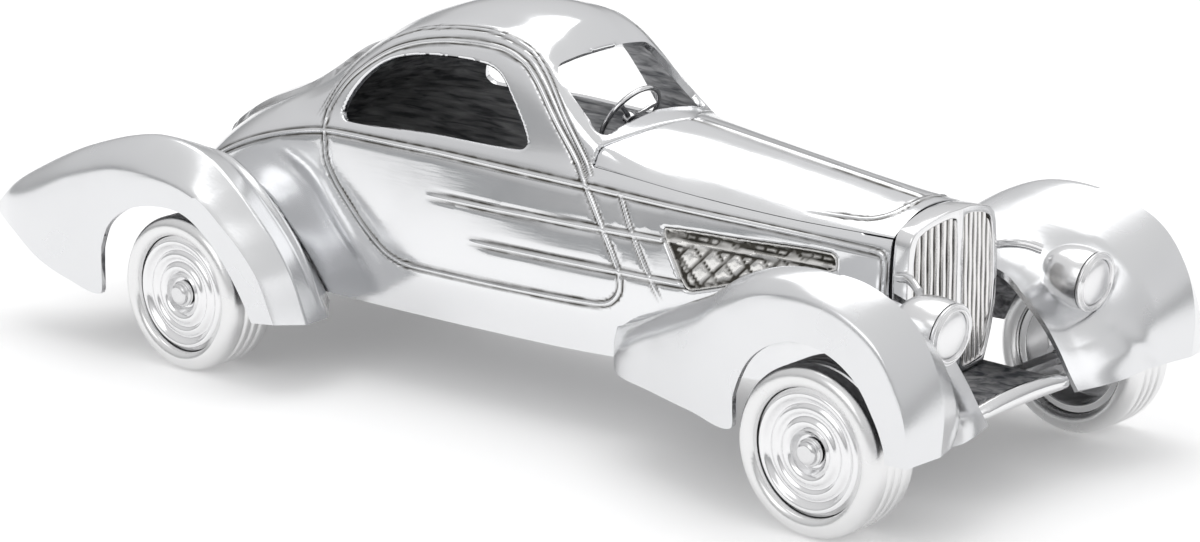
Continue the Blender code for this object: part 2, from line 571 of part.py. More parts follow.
def make_lamps(material, glass):
    r = LAMP_RADIUS
    for side, sign in SIDES:
        centre = (LAMP_CENTRE[0], sign * LAMP_CENTRE[1], LAMP_CENTRE[2])
        ahead = (math.cos(LAMP_TILT), 0, math.sin(LAMP_TILT))
        bowl = [(0, -21.5), (4.6, -20.6), (8.2, -17.6), (10.4, -13), (11.1, -8), (10.8, -3.2), (10.4, -1.8),
                (9, -1.8), (9.4, -8), (7, -15), (0, -18)]
        turned(f"headlamp_bowl_{side}", bowl, centre, ahead, material, 20)
        seat = [(0, -22.5), (6, -21.6), (9.2, -18.4), (11, -13.4), (11.7, -8), (11.5, 1.5), (0, 1.5)]
        fender = bpy.data.objects[f"front_fender_{side}"]
        boolean(fender, "DIFFERENCE", turned(f"lamp_seat_{side}", seat, centre, ahead, None, 20))
        bezel = [(r + 0.4, -1.4), (r + 0.5, -0.2), (r - 0.4, 0.5), (r - 1.8, 0.2), (r - 1.9, -1.4)]
        turned(f"headlamp_bezel_{side}", bezel, centre, ahead, material, 20)
        inner = r - 1.9 - GAP
        lens = [(0, 1.5), (inner * 0.55, 1.1), (inner, -0.1), (inner, -1.4), (0, -1.4)]
        turned(f"headlamp_lens_{side}", lens, centre, ahead, glass, 20)
        path = [(144, 28.2, 77), (149, 29.8, 77.6), (154, 32.4, 77), (158, 34.8, 75.4)]
        tube(f"headlamp_bracket_{side}", [(x, sign * y, z) for x, y, z in path], 1.4, material)


def make_apron(material):
    """The low bar that joins the two front fenders under the grille."""
    across = [-25.2, -21, -14, -7, 0, 7, 14, 21, 25.2]
    sections = []
    for y in across:
        bow = 1 - (y / 26) ** 2
        x = 177.4 + 1.4 * bow
        low = 31 + 1.2 * bow
        top = 36.2 + 2.8 * bow
        section = [(x, y, low), (x + 0.8, y, low + 2.6), (x - 1.4, y, top), (x - 3.6, y, top - 0.8)]
        sections.append([*section, (x - 2.2, y, low)])
    loft("apron_bar", sections, material)


# Side vents

def make_vents(material):
    """A plate with a diamond pattern, set a little below the body's surface in each side."""
    for side, sign in SIDES:
        xs = [44, 56, 68, 80, 92, 104, 122]
        sections = []
        for x in xs:
            outer = [(x, sign * (half_width(x, z) - 0.7), z) for z in (54, 62, 70, 83)]
            inner = [(x, sign * (half_width(x, z) - 2.0), z) for z in (83, 70, 62, 54)]
            sections.append(outer + inner)
        plate = loft(f"side_vent_{side}", sections, material)
        centre_x, centre_z = 84.0, 70.0
        outline = [(centre_x + (x - centre_x) * 0.985, centre_z + (z - centre_z) * 0.955) for x, z in VENT]
        boolean(plate, "INTERSECT", side_prism(f"vent_keep_{side}", outline, sign * 15, sign * 60))


# Cabin


def make_cabin(cast, dark):
    dash = [(2.5, 86), (6.5, 86), (10.5, 100.5), (7.5, 101)]
    panel = side_prism("dashboard", dash, -DASH_HALF_WIDTH, DASH_HALF_WIDTH, dark)
    axis = Vector((0.866, 0, -0.5)).normalized()
    hub = Vector((-10.5, 13.0, 100.5))
    wheel_rim("steering_wheel", hub, axis, cast)
    start = hub + axis * 1.8
    end = hub + axis * 26
    bore = turned("column_bore", [(0, -40), (1.9, -40), (1.9, 40), (0, 40)], hub, axis, None, 16)
    boolean(panel, "DIFFERENCE", bore)
    tube("steering_column", [start, start.lerp(end, 0.5), end], 1.4, dark)


def wheel_rim(name, hub, axis, material):
    """A three-spoked steering wheel: a ring, a hub and flat spokes, joined into one solid."""
    radius, thick = 14.0, 1.0
    steps = 6
    ring_profile = [
        (radius + thick * math.cos(a), thick * math.sin(a))
        for a in (2 * math.pi * k / steps for k in range(steps))
    ]
    ring = turned(name, ring_profile, hub, axis, material, 20)
    boss_profile = [(0, -2.2), (2.0, -1.8), (2.6, -0.6), (2.6, 1.4), (0, 1.4)]
    boss = turned(name + "_boss", boss_profile, hub, axis, None, 16)
    side = axis.orthogonal().normalized()
    other = axis.cross(side)
    boolean(ring, "UNION", boss)
    for k in range(3):
        angle = math.radians(90 + 120 * k)
        out = side * math.cos(angle) + other * math.sin(angle)
        wide = axis.cross(out)
        spoke = prism(f"{name}_spoke_{k}", [(1.0, -0.8), (radius, -0.6), (radius, 0.6), (1.0, 0.8)],
                      (axis * -0.45, axis * 0.45), hub, (out, wide))
        boolean(ring, "UNION", spoke)
    return ring


def main():
    set_up()
    polished = metal("polished_aluminium", (0.86, 0.86, 0.87), 0.12)
    satin = metal("satin_aluminium", (0.80, 0.80, 0.81), 0.28)
    dark = metal("antiqued_aluminium", (0.20, 0.19, 0.18), 0.5)
    steel = metal("turned_steel", (0.62, 0.62, 0.63), 0.25)
    rough_cast = metal("rough_cast_aluminium", (0.33, 0.33, 0.33), 0.6)
    make_body(polished)
    make_floor(rough_cast, steel)
    make_running_gear(satin, steel)
    for side, sign in SIDES:
        make_fender(f"front_fender_{side}", FRONT_FENDER, FRONT_WEB_SAG, sign, satin)
        make_fender(f"rear_fender_{side}", REAR_FENDER, REAR_WEB_SAG, sign, satin)
    make_grille(polished, dark)
    make_lamps(polished, satin)
    make_apron(polished)
    make_vents(dark)
    make_cabin(polished, rough_cast)


main()
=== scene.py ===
import json
import math
import bmesh
import bpy
import numpy as np
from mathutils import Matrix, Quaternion, Vector
from mathutils.kdtree import KDTree

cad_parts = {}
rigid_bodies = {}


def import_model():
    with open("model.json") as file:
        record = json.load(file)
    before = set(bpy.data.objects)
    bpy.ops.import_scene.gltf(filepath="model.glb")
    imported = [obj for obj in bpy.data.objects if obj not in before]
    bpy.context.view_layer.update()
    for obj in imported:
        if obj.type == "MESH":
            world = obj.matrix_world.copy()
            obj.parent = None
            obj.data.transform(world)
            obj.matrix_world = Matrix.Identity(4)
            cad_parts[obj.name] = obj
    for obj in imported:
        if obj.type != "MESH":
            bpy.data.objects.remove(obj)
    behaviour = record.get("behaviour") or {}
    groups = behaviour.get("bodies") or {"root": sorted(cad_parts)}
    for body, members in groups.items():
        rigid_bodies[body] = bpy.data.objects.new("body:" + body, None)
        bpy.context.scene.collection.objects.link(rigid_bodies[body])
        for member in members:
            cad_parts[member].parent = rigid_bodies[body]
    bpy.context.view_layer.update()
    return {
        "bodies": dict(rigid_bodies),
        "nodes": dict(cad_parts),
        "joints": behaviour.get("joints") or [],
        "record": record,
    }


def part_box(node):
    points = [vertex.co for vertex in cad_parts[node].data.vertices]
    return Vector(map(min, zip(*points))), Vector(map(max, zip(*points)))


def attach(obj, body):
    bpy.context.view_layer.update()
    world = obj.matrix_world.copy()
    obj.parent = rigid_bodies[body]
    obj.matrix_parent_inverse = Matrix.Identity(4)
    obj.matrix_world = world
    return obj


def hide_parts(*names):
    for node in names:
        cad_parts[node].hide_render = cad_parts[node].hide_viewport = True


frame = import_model()

# Camera, floor and light.
# A long lens from ahead and to the right of the car, on a pale studio floor under a soft white dome with a
# greyer horizon. The floor glows a little to soften the shadow, and a weak light fills the dark cabin.
AIM = Vector((0.0199, 0.0, 0.0446))
CAMERA_DISTANCE = 1.5333
azimuth, elevation, roll = (math.radians(a) for a in (41.37, 15.62, -0.53))
back = Vector((math.sin(azimuth) * math.cos(elevation), -math.cos(azimuth) * math.cos(elevation),
               math.sin(elevation)))
lens = bpy.data.cameras.new("studio_camera")
lens.lens = 125.06
lens.sensor_width = 36.0
camera = bpy.data.objects.new("studio_camera", lens)
bpy.context.scene.collection.objects.link(camera)
camera.location = AIM + back * CAMERA_DISTANCE
camera.rotation_mode = "QUATERNION"
camera.rotation_quaternion = (-back).to_track_quat("-Z", "Y") @ Quaternion((0, 0, 1), roll)
bpy.context.scene.camera = camera
bpy.context.scene.view_settings.view_transform = "Standard"

bpy.ops.mesh.primitive_plane_add(size=12)
floor = bpy.context.object
floor.name = "studio_floor"
pale = bpy.data.materials.new("pale_floor")
pale.use_nodes = True
for socket, value in (("Base Color", (0.93, 0.93, 0.93, 1)), ("Roughness", 0.9),
                      ("Emission Color", (1, 1, 1, 1)), ("Emission Strength", 0.2)):
    pale.node_tree.nodes["Principled BSDF"].inputs[socket].default_value = value
floor.data.materials.append(pale)

world = bpy.data.worlds.new("studio_dome")
bpy.context.scene.world = world
world.use_nodes = True
nodes, links = world.node_tree.nodes, world.node_tree.links
direction = nodes.new("ShaderNodeTexCoord")
split = nodes.new("ShaderNodeSeparateXYZ")
dome = nodes.new("ShaderNodeValToRGB")
links.new(direction.outputs["Generated"], split.inputs[0])
links.new(split.outputs["Z"], dome.inputs["Fac"])
links.new(dome.outputs["Color"], nodes["Background"].inputs["Color"])
dome.color_ramp.elements[0].color = (0.34, 0.35, 0.36, 1)
dome.color_ramp.elements[1].color = (0.80, 0.80, 0.80, 1)
for height, grey in ((0.10, 0.44), (0.24, 0.66), (0.5, 0.74)):
    dome.color_ramp.elements.new(height).color = (grey, grey, grey * 1.01, 1)
nodes["Background"].inputs["Strength"].default_value = 1.0
for name, place_at, size, power in (("top_softbox", (-0.3, 0.3, 1.6), 1.4, 7),
                                    ("side_softbox", (0.2, -1.8, 1.2), 1.2, 4),
                                    ("nose_softbox", (1.9, 0.6, 1.1), 1.0, 2)):
    light = bpy.data.lights.new(name, "AREA")
    light.size = size
    light.energy = power
    lamp = bpy.data.objects.new(name, light)
    bpy.context.scene.collection.objects.link(lamp)
    lamp.location = place_at
    lamp.rotation_mode = "QUATERNION"
    lamp.rotation_quaternion = (Vector(place_at) * -1).to_track_quat("-Z", "Y")
light = bpy.data.lights.new("cabin_fill", "POINT")
light.shadow_soft_size = 0.012
light.energy = 0.035
lamp = bpy.data.objects.new("cabin_fill", light)
bpy.context.scene.collection.objects.link(lamp)
lamp.location = (-0.03, -0.012, 0.118)
lamp.visible_camera = False
lamp.visible_glossy = False


# Body shell.
# One hollow aluminium casting with the cabin, the tail and the sides, polished to a mirror outside and left
# dark and rasped inside, with painted shade over the aft part of the inner wall and painted light over its
# fore part. Doors, mouldings and boot lid are cast in as raised beads with antiqued edges.
MM = 0.001
WALL = 2.4
axle_boxes = {end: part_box(f"{end}_axle") for end in ("front", "rear")}
MID_AXLE_X = sum(low.x + high.x for low, high in axle_boxes.values()) / 4 / MM
WHEEL_RADIUS = (axle_boxes["front"][0].z + axle_boxes["front"][1].z) / 2 / MM
TAIL_X = -234.0
NOSE_X = 139.2
SILL_LINE = [(-234, 3, 36), (-228, 10, 33.5), (-215, 21, 31.5), (-197, 31.5, 30), (-174, 38.5, 29),
             (-147, 42.5, 29), (-110, 45, 29), (-60, 45.5, 29), (0, 43.5, 29), (35, 40.5, 29.5),
             (60, 37.5, 30), (100, 31.5, 31), (140, 26, 34)]
FLANK_LINE = [(-234, 4, 38), (-228, 12, 38), (-215, 23, 41), (-197, 33.5, 45), (-174, 40.5, 49),
              (-147, 44.5, 52), (-110, 47, 54), (-60, 47.5, 55), (0, 45.5, 55), (35, 41.5, 55),
              (60, 38, 55), (100, 32, 55), (140, 27, 56)]
BELT_LINE = [(-234, 4, 39), (-228, 12, 42), (-215, 21.5, 47), (-197, 30.5, 58.6), (-174, 38.3, 72),
             (-147, 42.3, 83), (-116, 43.6, 90.6), (-97, 43.8, 91.6), (-58, 43.2, 91.6), (-18, 41, 90.2),
             (9, 38.6, 89), (38, 35.6, 87.4), (60, 33.6, 86.4), (101, 29.6, 84.8), (140, 26.4, 83.2)]
SHOULDER_LINE = [(-234, 3.4, 39.6), (-228, 10, 44.5), (-215, 17.5, 50.4), (-197, 25.8, 63.4),
                 (-174, 33.4, 77.2), (-147, 38.5, 88), (-116, 40.8, 96), (-97, 41.2, 97.6), (-58, 41, 97.8),
                 (-18, 38.6, 97.2), (0, 36.8, 96.6), (16, 34.6, 95.2), (60, 30.4, 90.8), (101, 27, 88.6),
                 (140, 24.2, 88.4)]
RAIL_LINE = [(-234, 2, 40.2), (-228, 6.5, 46), (-215, 10.5, 52.6), (-197, 17.6, 67.6), (-174, 24.4, 82),
             (-147, 31, 93.6), (-130, 33.6, 98.6), (-116, 35.2, 105), (-103, 34.4, 114.5), (-85, 32.6, 125.5),
             (-58, 31.4, 132.4), (-33, 30.8, 133), (-19, 30.4, 128.4), (-10, 30.6, 122), (0, 30.8, 114),
             (11, 31, 105.6), (16, 30.6, 102.6), (35, 27, 98.6), (60, 23.4, 97), (101, 19.8, 94.2),
             (140, 17, 92.6)]
CENTRE_LINE = [(-234, 0, 40.6), (-228, 0, 45.4), (-220, 0, 51), (-209, 0, 61), (-197, 0, 73),
               (-174, 0, 87.8), (-150, 0, 97.4), (-141, 0, 101.8), (-130, 0, 109.4), (-114, 0, 120),
               (-96, 0, 130.4), (-75, 0, 138.4), (-60, 0, 141.8), (-42, 0, 143), (-30, 0, 141.6),
               (-20, 0, 137.6), (-14, 0, 132.4), (-9, 0, 127), (3, 0, 117.4), (13, 0, 110.2),
               (20, 0, 109.8), (35, 0, 108.9), (56, 0, 106.5), (97, 0, 101.6), (140, 0, 96.4)]
CROWN_RISE = 0.74
BELT, SHOULDER, CENTRE = 2.0, 3.0, 6.0   # where those lines lie, counted across from the sill
FINE_STEPS = 4               # fine cells along one coarse cell
COARSE_CELL = 2.6
LONG_SKIN = 250              # a skin longer than this takes BODY_CELLS
BODY_CELLS = (9, 12, 3, 10, 6, 6)   # least coarse cells from one line of the body to the next
FIRST_REACH = 1.1            # a coarse cell is split if a line is nearer than this many cells
NEXT_REACH = 1.6             # and a smaller one if it is nearer than this many millimetres
BEAD_HALF = 0.66
BEAD_RISE = 0.42
EDGE_ROUND = 0.75


def hermite(a, b, tangent_a, tangent_b, t):
    return ((2 * t**3 - 3 * t**2 + 1) * a + (t**3 - 2 * t**2 + t) * tangent_a
            + (3 * t**2 - 2 * t**3) * b + (t**3 - t**2) * tangent_b)


def along(line, x):
    """Half width and height of a line at every x, on a curve through its points that never overshoots."""
    line = np.array(line, float)
    px, values = line[:, 0], line[:, 1:]
    last = len(px) - 1
    i = np.clip(np.searchsorted(px, x) - 1, 0, last - 1)
    span = (px[i + 1] - px[i])[:, None]
    t = np.clip((x - px[i])[:, None] / span, 0, 1)
    slope = (values[i + 1] - values[i]) / span
    middle = np.zeros_like(values)
    middle[1:-1] = (values[2:] - values[:-2]) / (px[2:] - px[:-2])[:, None]
    most = 3 * abs(slope)
    into = np.where((i == 0)[:, None], slope, np.clip(middle[i], -most, most))
    out = np.where((i == last - 1)[:, None], slope, np.clip(middle[i + 1], -most, most))
    return hermite(values[i], values[i + 1], into * span, out * span, t)


def body_point(x, v):
    """The right side of the body at every (x, v): v runs from 0 at the sill to 6 on the centre line."""
    lines = (SILL_LINE, FLANK_LINE, BELT_LINE, SHOULDER_LINE, RAIL_LINE, CENTRE_LINE)
    sill, flank, belt, shoulder, rail, centre = (along(line, x) for line in lines)
    crown = np.stack([rail[:, 0] * 0.52, rail[:, 1] + (centre[:, 1] - rail[:, 1]) * CROWN_RISE], 1)
    beyond = crown * [-1, 1]
    knots = np.stack([2 * sill - flank, sill, flank, belt, shoulder, rail, crown, centre, beyond], 1)
    i = np.clip(v.astype(int), 0, 5)
    rows = np.arange(len(x))
    before, a, b, after = (knots[rows, i + k] for k in range(4))
    first, middle, third = (np.linalg.norm(q - p, axis=1)[:, None] + 1e-9
                            for p, q in ((before, a), (a, b), (b, after)))
    found = hermite(a, b, (b - before) / (first + middle) * middle, (after - a) / (middle + third) * middle,
                    (v - i)[:, None])
    return np.stack([x, -found[:, 0], found[:, 1]], 1)


def body_normal(x, v):
    step_x, step_v = 0.3, 0.02
    ahead = body_point(x + step_x, v) - body_point(x - step_x, v)
    over = body_point(x, np.clip(v + step_v, 0, 6)) - body_point(x, np.clip(v - step_v, 0, 6))
    normal = np.cross(ahead, over)
    return normal / (np.linalg.norm(normal, axis=1)[:, None] + 1e-12)


def smooth_curve(points, closed=False, spacing=0.5):
    """A dense curve through a few points."""
    points = np.array(points, float)
    ring = (np.concatenate([points[-1:], points, points[:2]]) if closed
            else np.concatenate([2 * points[:1] - points[1:2], points, 2 * points[-1:] - points[-2:-1]]))
    found = []
    for before, a, b, after in zip(ring, ring[1:], ring[2:], ring[3:]):
        lengths = [np.linalg.norm(q - p) + 1e-9 for p, q in ((before, a), (a, b), (b, after))]
        count = max(int(lengths[1] / spacing), 1)
        t = (np.arange(count) / count)[:, None]
        found.append(hermite(a, b, (b - before) / (lengths[0] + lengths[1]) * lengths[1],
                             (after - a) / (lengths[1] + lengths[2]) * lengths[1], t))
    if not closed:
        found.append(points[-1:])
    return np.concatenate(found)


def match(x, v, project, goal):
    """Moves each (x, v) on the body until its projection lands on the goal."""
    step_x, step_v = 0.05, 0.005
    for _ in range(7):
        here = project(body_point(x, v))
        by_x = (project(body_point(x + step_x, v)) - here) / step_x
        inward = np.where(v > CENTRE - 2 * step_v, -step_v, step_v)
        by_v = (project(body_point(x, v + inward)) - here) / inward[:, None]
        miss = goal - here
        det = by_x[:, 0] * by_v[:, 1] - by_x[:, 1] * by_v[:, 0]
        det = np.where(abs(det) < 1e-6, 1e-6, det)
        x = x + np.clip((miss[:, 0] * by_v[:, 1] - miss[:, 1] * by_v[:, 0]) / det, -3, 3)
        v = v + np.clip((by_x[:, 0] * miss[:, 1] - by_x[:, 1] * miss[:, 0]) / det, -0.3, 0.3)
        v = np.clip(v, 0, CENTRE)
    return x, v


def from_side(p):
    return p[:, [0, 2]]


def from_above(p):
    return np.stack([p[:, 0], -p[:, 1]], 1)


def on_body(curve, project, first_v):
    """A drawn line laid on the right side of the body, as points."""
    x, v = match(curve[:, 0].copy(), np.full(len(curve), first_v), project, curve)
    return body_point(x, v)


def distance_to(points, line):
    """Distance from each point to a dense line, and how far along the line that is, from 0 to 1."""
    tree = KDTree(len(line))
    for i, p in enumerate(line):
        tree.insert(p, i)
    tree.balance()
    nearest = np.array([tree.find(p)[1] for p in points])
    tangent = np.gradient(line, axis=0)
    tangent /= np.linalg.norm(tangent, axis=1)[:, None] + 1e-9
    apart = points - line[nearest]
    beside = apart - (apart * tangent[nearest]).sum(1)[:, None] * tangent[nearest]
    ends = (nearest == 0) | (nearest == len(line) - 1)
    away = np.where(ends, np.linalg.norm(apart, axis=1), np.linalg.norm(beside, axis=1))
    return away, nearest / (len(line) - 1)


def inside(spots, outline):
    """Whether each 2D spot lies within a closed outline."""
    x, y = spots[:, 0][:, None], spots[:, 1][:, None]
    x1, y1 = outline[:, 0], outline[:, 1]
    x2, y2 = np.roll(x1, -1), np.roll(y1, -1)
    crosses = (y1 > y) != (y2 > y)
    at = x1 + (y - y1) * (x2 - x1) / np.where(y2 == y1, 1e-9, y2 - y1)
    return (crosses & (x < at)).sum(1) % 2 == 1


def beads(points, lines):
    """Height and antiquing of the raised beads. A line is (points, width, fade in, fade out)."""
    rise = np.zeros(len(points))
    dip = np.zeros(len(points))
    for line, width, fade_in, fade_out in lines:
        away, share = distance_to(points, line)
        length = np.linalg.norm(np.diff(line, axis=0), axis=1).sum()
        strength = np.ones(len(points))
        if fade_in:
            strength *= np.clip(share * length / fade_in, 0, 1)
        if fade_out:
            strength *= np.clip((1 - share) * length / fade_out, 0, 1)
        half = BEAD_HALF * width
        rise = np.maximum(rise, strength * np.exp(-(away / half)**2) * width)
        dip = np.maximum(dip, strength * np.exp(-((away - half * 1.7) / (half * 0.6))**2))
    dip = dip * np.clip(1 - rise, 0, 1)
    return rise * BEAD_RISE - dip * BEAD_RISE * 0.7, dip


def make_skin(name, x_from, x_to, v_from, v_to, openings, keep, lines, relief, outer_material, inner_material,
              coarse=COARSE_CELL, wall=WALL):
    """A shell that follows the body: cells that are fine near its lines and edges, openings cut to their
    outline, beads raised, a wall given to it, and the left half mirrored from the right."""
    columns = FINE_STEPS * max(int((x_to - x_from) / coarse), 2)
    knots_j, knots_v = [0], [v_from]
    for k in range(6):
        low, high = max(v_from, k), min(v_to, k + 1)
        if high <= low:
            continue
        middle = body_point(np.full(2, (x_from + x_to) / 2), np.array([low, high]) - 1e-6)
        spans = max(int(np.ceil(np.linalg.norm(middle[1] - middle[0]) / coarse)), 1)
        if x_to - x_from > LONG_SKIN:
            spans = max(spans, BODY_CELLS[k])
        knots_j.append(knots_j[-1] + FINE_STEPS * spans)
        knots_v.append(high)
    rows = knots_j[-1]

    def spot(i, j):
        x = x_from + (x_to - x_from) * np.asarray(i, float) / columns
        return x, np.interp(np.asarray(j, float), knots_j, knots_v)

    features = [line for line, *_ in lines]
    for project, mask, outline, first_v in openings:
        features.append(on_body(outline, project, first_v))
    tree = KDTree(sum(len(f) for f in features) + 1)
    tree.insert((0, 0, -9999), 0)
    for feature in features:
        for p in feature:
            tree.insert(p, 0)
    tree.balance()
    cells = np.array([(i, j) for i in range(0, columns, FINE_STEPS) for j in range(0, rows, FINE_STEPS)])
    leaves = []
    size = FINE_STEPS
    reach = coarse * FIRST_REACH
    while size > 1:
        x, v = spot(cells[:, 0] + size / 2, cells[:, 1] + size / 2)
        close = np.array([tree.find(p)[2] for p in body_point(x, v)]) < reach
        leaves.append((size, cells[~close]))
        size //= 2
        cells = np.concatenate([cells[close] + [a, b] for a in (0, size) for b in (0, size)])
        reach = NEXT_REACH
    leaves.append((1, cells))
    corners = {}
    for size, group in leaves:
        for i, j in group.tolist():
            for a, b in ((i, j), (i + size, j), (i + size, j + size), (i, j + size)):
                corners.setdefault((a, b), len(corners))
    faces = []
    for size, group in leaves:
        for i, j in group.tolist():
            loop = []
            for (a, b), (da, db) in (((i, j), (1, 0)), ((i + size, j), (0, 1)),
                                     ((i + size, j + size), (-1, 0)), ((i, j + size), (0, -1))):
                for step in range(size):
                    key = corners.get((a + da * step, b + db * step))
                    if key is not None:
                        loop.append(key)
            faces.append(loop)
    lattice = np.array(list(corners))
    x, v = spot(lattice[:, 0], lattice[:, 1])
    points = body_point(x, v)
    flat = np.concatenate(faces)
    owner = np.repeat(np.arange(len(faces)), [len(f) for f in faces])
    counts = np.bincount(owner)
    middles = np.stack([np.bincount(owner, points[flat, k]) / counts for k in range(3)], 1)
    middle_x = np.bincount(owner, x[flat]) / counts
    middle_v = np.bincount(owner, v[flat]) / counts
    kept = np.ones(len(faces), bool)
    for project, mask, outline, first_v in openings:
        cut = mask(middle_x, middle_v) & (inside(project(middles), outline) != keep)
        edge = np.intersect1d(flat[cut[owner] & kept[owner]], flat[~cut[owner] & kept[owner]])
        kept &= ~cut
        around = np.concatenate([outline, outline[:1]])
        a, b = around[:-1], around[1:]
        goals = []
        for q in project(points[edge]):
            t = np.clip(((q - a) * (b - a)).sum(1) / (((b - a)**2).sum(1) + 1e-12), 0, 1)
            on = a + (b - a) * t[:, None]
            goals.append(on[np.argmin(((q - on)**2).sum(1))])
        if len(edge):
            centred = v[edge] > CENTRE - 1e-6
            moved_x, moved_v = match(x[edge], v[edge], project, np.array(goals))
            x[edge] = moved_x
            v[edge] = np.where(centred, CENTRE, moved_v)
    points = body_point(x, v)
    normals = body_normal(x, v)
    normals[v > CENTRE - 1e-6, 1] = 0
    height, patina = relief(points, x, v, lines)
    for project, mask, outline, first_v in openings:
        near = np.where(mask(x, v))[0]
        around = on_body(np.concatenate([outline, outline[:1]]), project, first_v)
        if len(near):
            away, _ = distance_to(points[near], around)
            depth = np.clip(EDGE_ROUND - away, 0, EDGE_ROUND)
            height[near] -= EDGE_ROUND - np.sqrt(EDGE_ROUND**2 - depth**2 + 1e-9)
    outer = points + normals * height[:, None]
    inner = points - normals * wall
    inner[:, 1] = np.minimum(inner[:, 1], np.where(v > CENTRE - 1e-6, 0, -0.02))
    faces = [f for f, k in zip(faces, kept) if k]
    used = np.unique(np.concatenate(faces))
    renumber = np.full(len(points), -1)
    renumber[used] = np.arange(len(used))
    faces = [renumber[f].tolist() for f in faces]
    outer, inner, patina = outer[used], inner[used], patina[used]
    centred = v[used] > CENTRE - 1e-6
    outer[centred, 1] = 0
    return shell_object(name, outer, inner, patina, faces, centred, outer_material, inner_material)


def mesh_object(name, points, faces, materials):
    """A new object from points in millimetres."""
    mesh = bpy.data.meshes.new(name)
    mesh.from_pydata((points * MM).tolist(), [], faces)
    for material in materials:
        mesh.materials.append(material)
    obj = bpy.data.objects.new(name, mesh)
    bpy.context.scene.collection.objects.link(obj)
    return obj


def shell_object(name, outer, inner, patina, faces, centred, outer_material, inner_material):
    """A closed shell from an outer and an inner set of points. With centred, its left half is mirrored."""
    count = len(outer)
    if centred is not None:
        twin = np.arange(count) + count
        twin[centred] = np.where(centred)[0]
        faces = faces + [[int(twin[k]) for k in reversed(f)] for f in faces]
        mirror = np.array([1, -1, 1])
        outer, inner = (np.concatenate([side, side * mirror]) for side in (outer, inner))
        patina = np.concatenate([patina, patina])
        count *= 2
    edges = {}
    for f in faces:
        for a, b in zip(f, f[1:] + f[:1]):
            edges[(a, b)] = True
    rim = [(a, b) for a, b in edges if (b, a) not in edges]
    total = ([list(f) for f in faces] + [[k + count for k in reversed(f)] for f in faces]
             + [[b, a, a + count, b + count] for a, b in rim])
    place = np.concatenate([outer, inner])
    place[:, 0] += MID_AXLE_X
    obj = mesh_object(name, place, total, (outer_material, inner_material))
    mesh = obj.data
    slots = np.zeros(len(total), np.int32)
    slots[len(faces):2 * len(faces)] = 1
    mesh.polygons.foreach_set("material_index", slots)
    antique = mesh.attributes.new("antique", "FLOAT", "POINT")
    antique.data.foreach_set("value", np.concatenate([patina, patina * 0]).astype(np.float32))
    data = bmesh.new()
    data.from_mesh(mesh)
    loose = [vert for vert in data.verts if not vert.link_faces]
    bmesh.ops.delete(data, geom=loose, context="VERTS")
    bmesh.ops.triangulate(data, faces=[f for f in data.faces if len(f.verts) > 4])
    data.to_mesh(mesh)
    data.free()
    mesh.shade_smooth()
    mesh.set_sharp_from_angle(angle=math.radians(50))
    return obj


def add_node(tree, kind, values=None, **settings):
    """A shader node with its settings and the values of its inputs."""
    made = tree.nodes.new("ShaderNode" + kind)
    for name, value in settings.items():
        setattr(made, name, value)
    for name, value in (values or {}).items():
        made.inputs[name].default_value = value
    return made


def polished(name, colour, roughness, variation, wave, streak):
    """Cast aluminium polished by hand: slow waves, fine streaks, cloudy gloss and dark antiqued grooves."""
    material = bpy.data.materials.new(name)
    material.use_nodes = True
    tree = material.node_tree
    link = tree.links.new
    shader = tree.nodes["Principled BSDF"]
    shader.inputs["Metallic"].default_value = 1.0
    where = add_node(tree, "TexCoord").outputs["Object"]
    cloud = add_node(tree, "TexNoise", {"Scale": 38, "Detail": 4})
    gloss = add_node(tree, "MapRange", {"From Min": 0.3, "From Max": 0.7, "To Max": roughness + variation,
                                        "To Min": max(roughness - variation, 0.03)})
    link(where, cloud.inputs["Vector"])
    link(cloud.outputs["Fac"], gloss.inputs["Value"])
    brush = add_node(tree, "Mapping", {"Scale": (60, 900, 900), "Rotation": (0, 0.25, 0.15)})
    streaks = add_node(tree, "TexNoise", {"Scale": 1.0, "Detail": 3})
    waves = add_node(tree, "TexNoise", {"Scale": 55, "Detail": 1})
    slow = add_node(tree, "Bump", {"Strength": wave, "Distance": 0.001})
    fine = add_node(tree, "Bump", {"Strength": streak, "Distance": 0.00005})
    link(where, brush.inputs["Vector"])
    link(brush.outputs["Vector"], streaks.inputs["Vector"])
    link(where, waves.inputs["Vector"])
    link(waves.outputs["Fac"], slow.inputs["Height"])
    link(streaks.outputs["Fac"], fine.inputs["Height"])
    link(slow.outputs["Normal"], fine.inputs["Normal"])
    link(fine.outputs["Normal"], shader.inputs["Normal"])
    antique = add_node(tree, "Attribute", attribute_name="antique")
    grime = add_node(tree, "TexNoise", {"Scale": 160})
    patch = add_node(tree, "MapRange", {"From Min": 0.25, "From Max": 0.6, "To Min": 0.8, "To Max": 1.3})
    broken = add_node(tree, "Math", operation="MULTIPLY")
    tint = add_node(tree, "Mix", {"A": (*colour, 1), "B": (0.075, 0.070, 0.060, 1)}, data_type="RGBA",
                clamp_factor=True)
    dull = add_node(tree, "Math", {1: 0.35}, operation="MULTIPLY_ADD")
    link(where, grime.inputs["Vector"])
    link(grime.outputs["Fac"], patch.inputs["Value"])
    link(antique.outputs["Fac"], broken.inputs[0])
    link(patch.outputs["Result"], broken.inputs[1])
    link(broken.outputs["Value"], tint.inputs["Factor"])
    link(tint.outputs["Result"], shader.inputs["Base Color"])
    link(broken.outputs["Value"], dull.inputs[0])
    link(gloss.outputs["Result"], dull.inputs[2])
    link(dull.outputs["Value"], shader.inputs["Roughness"])
    return material


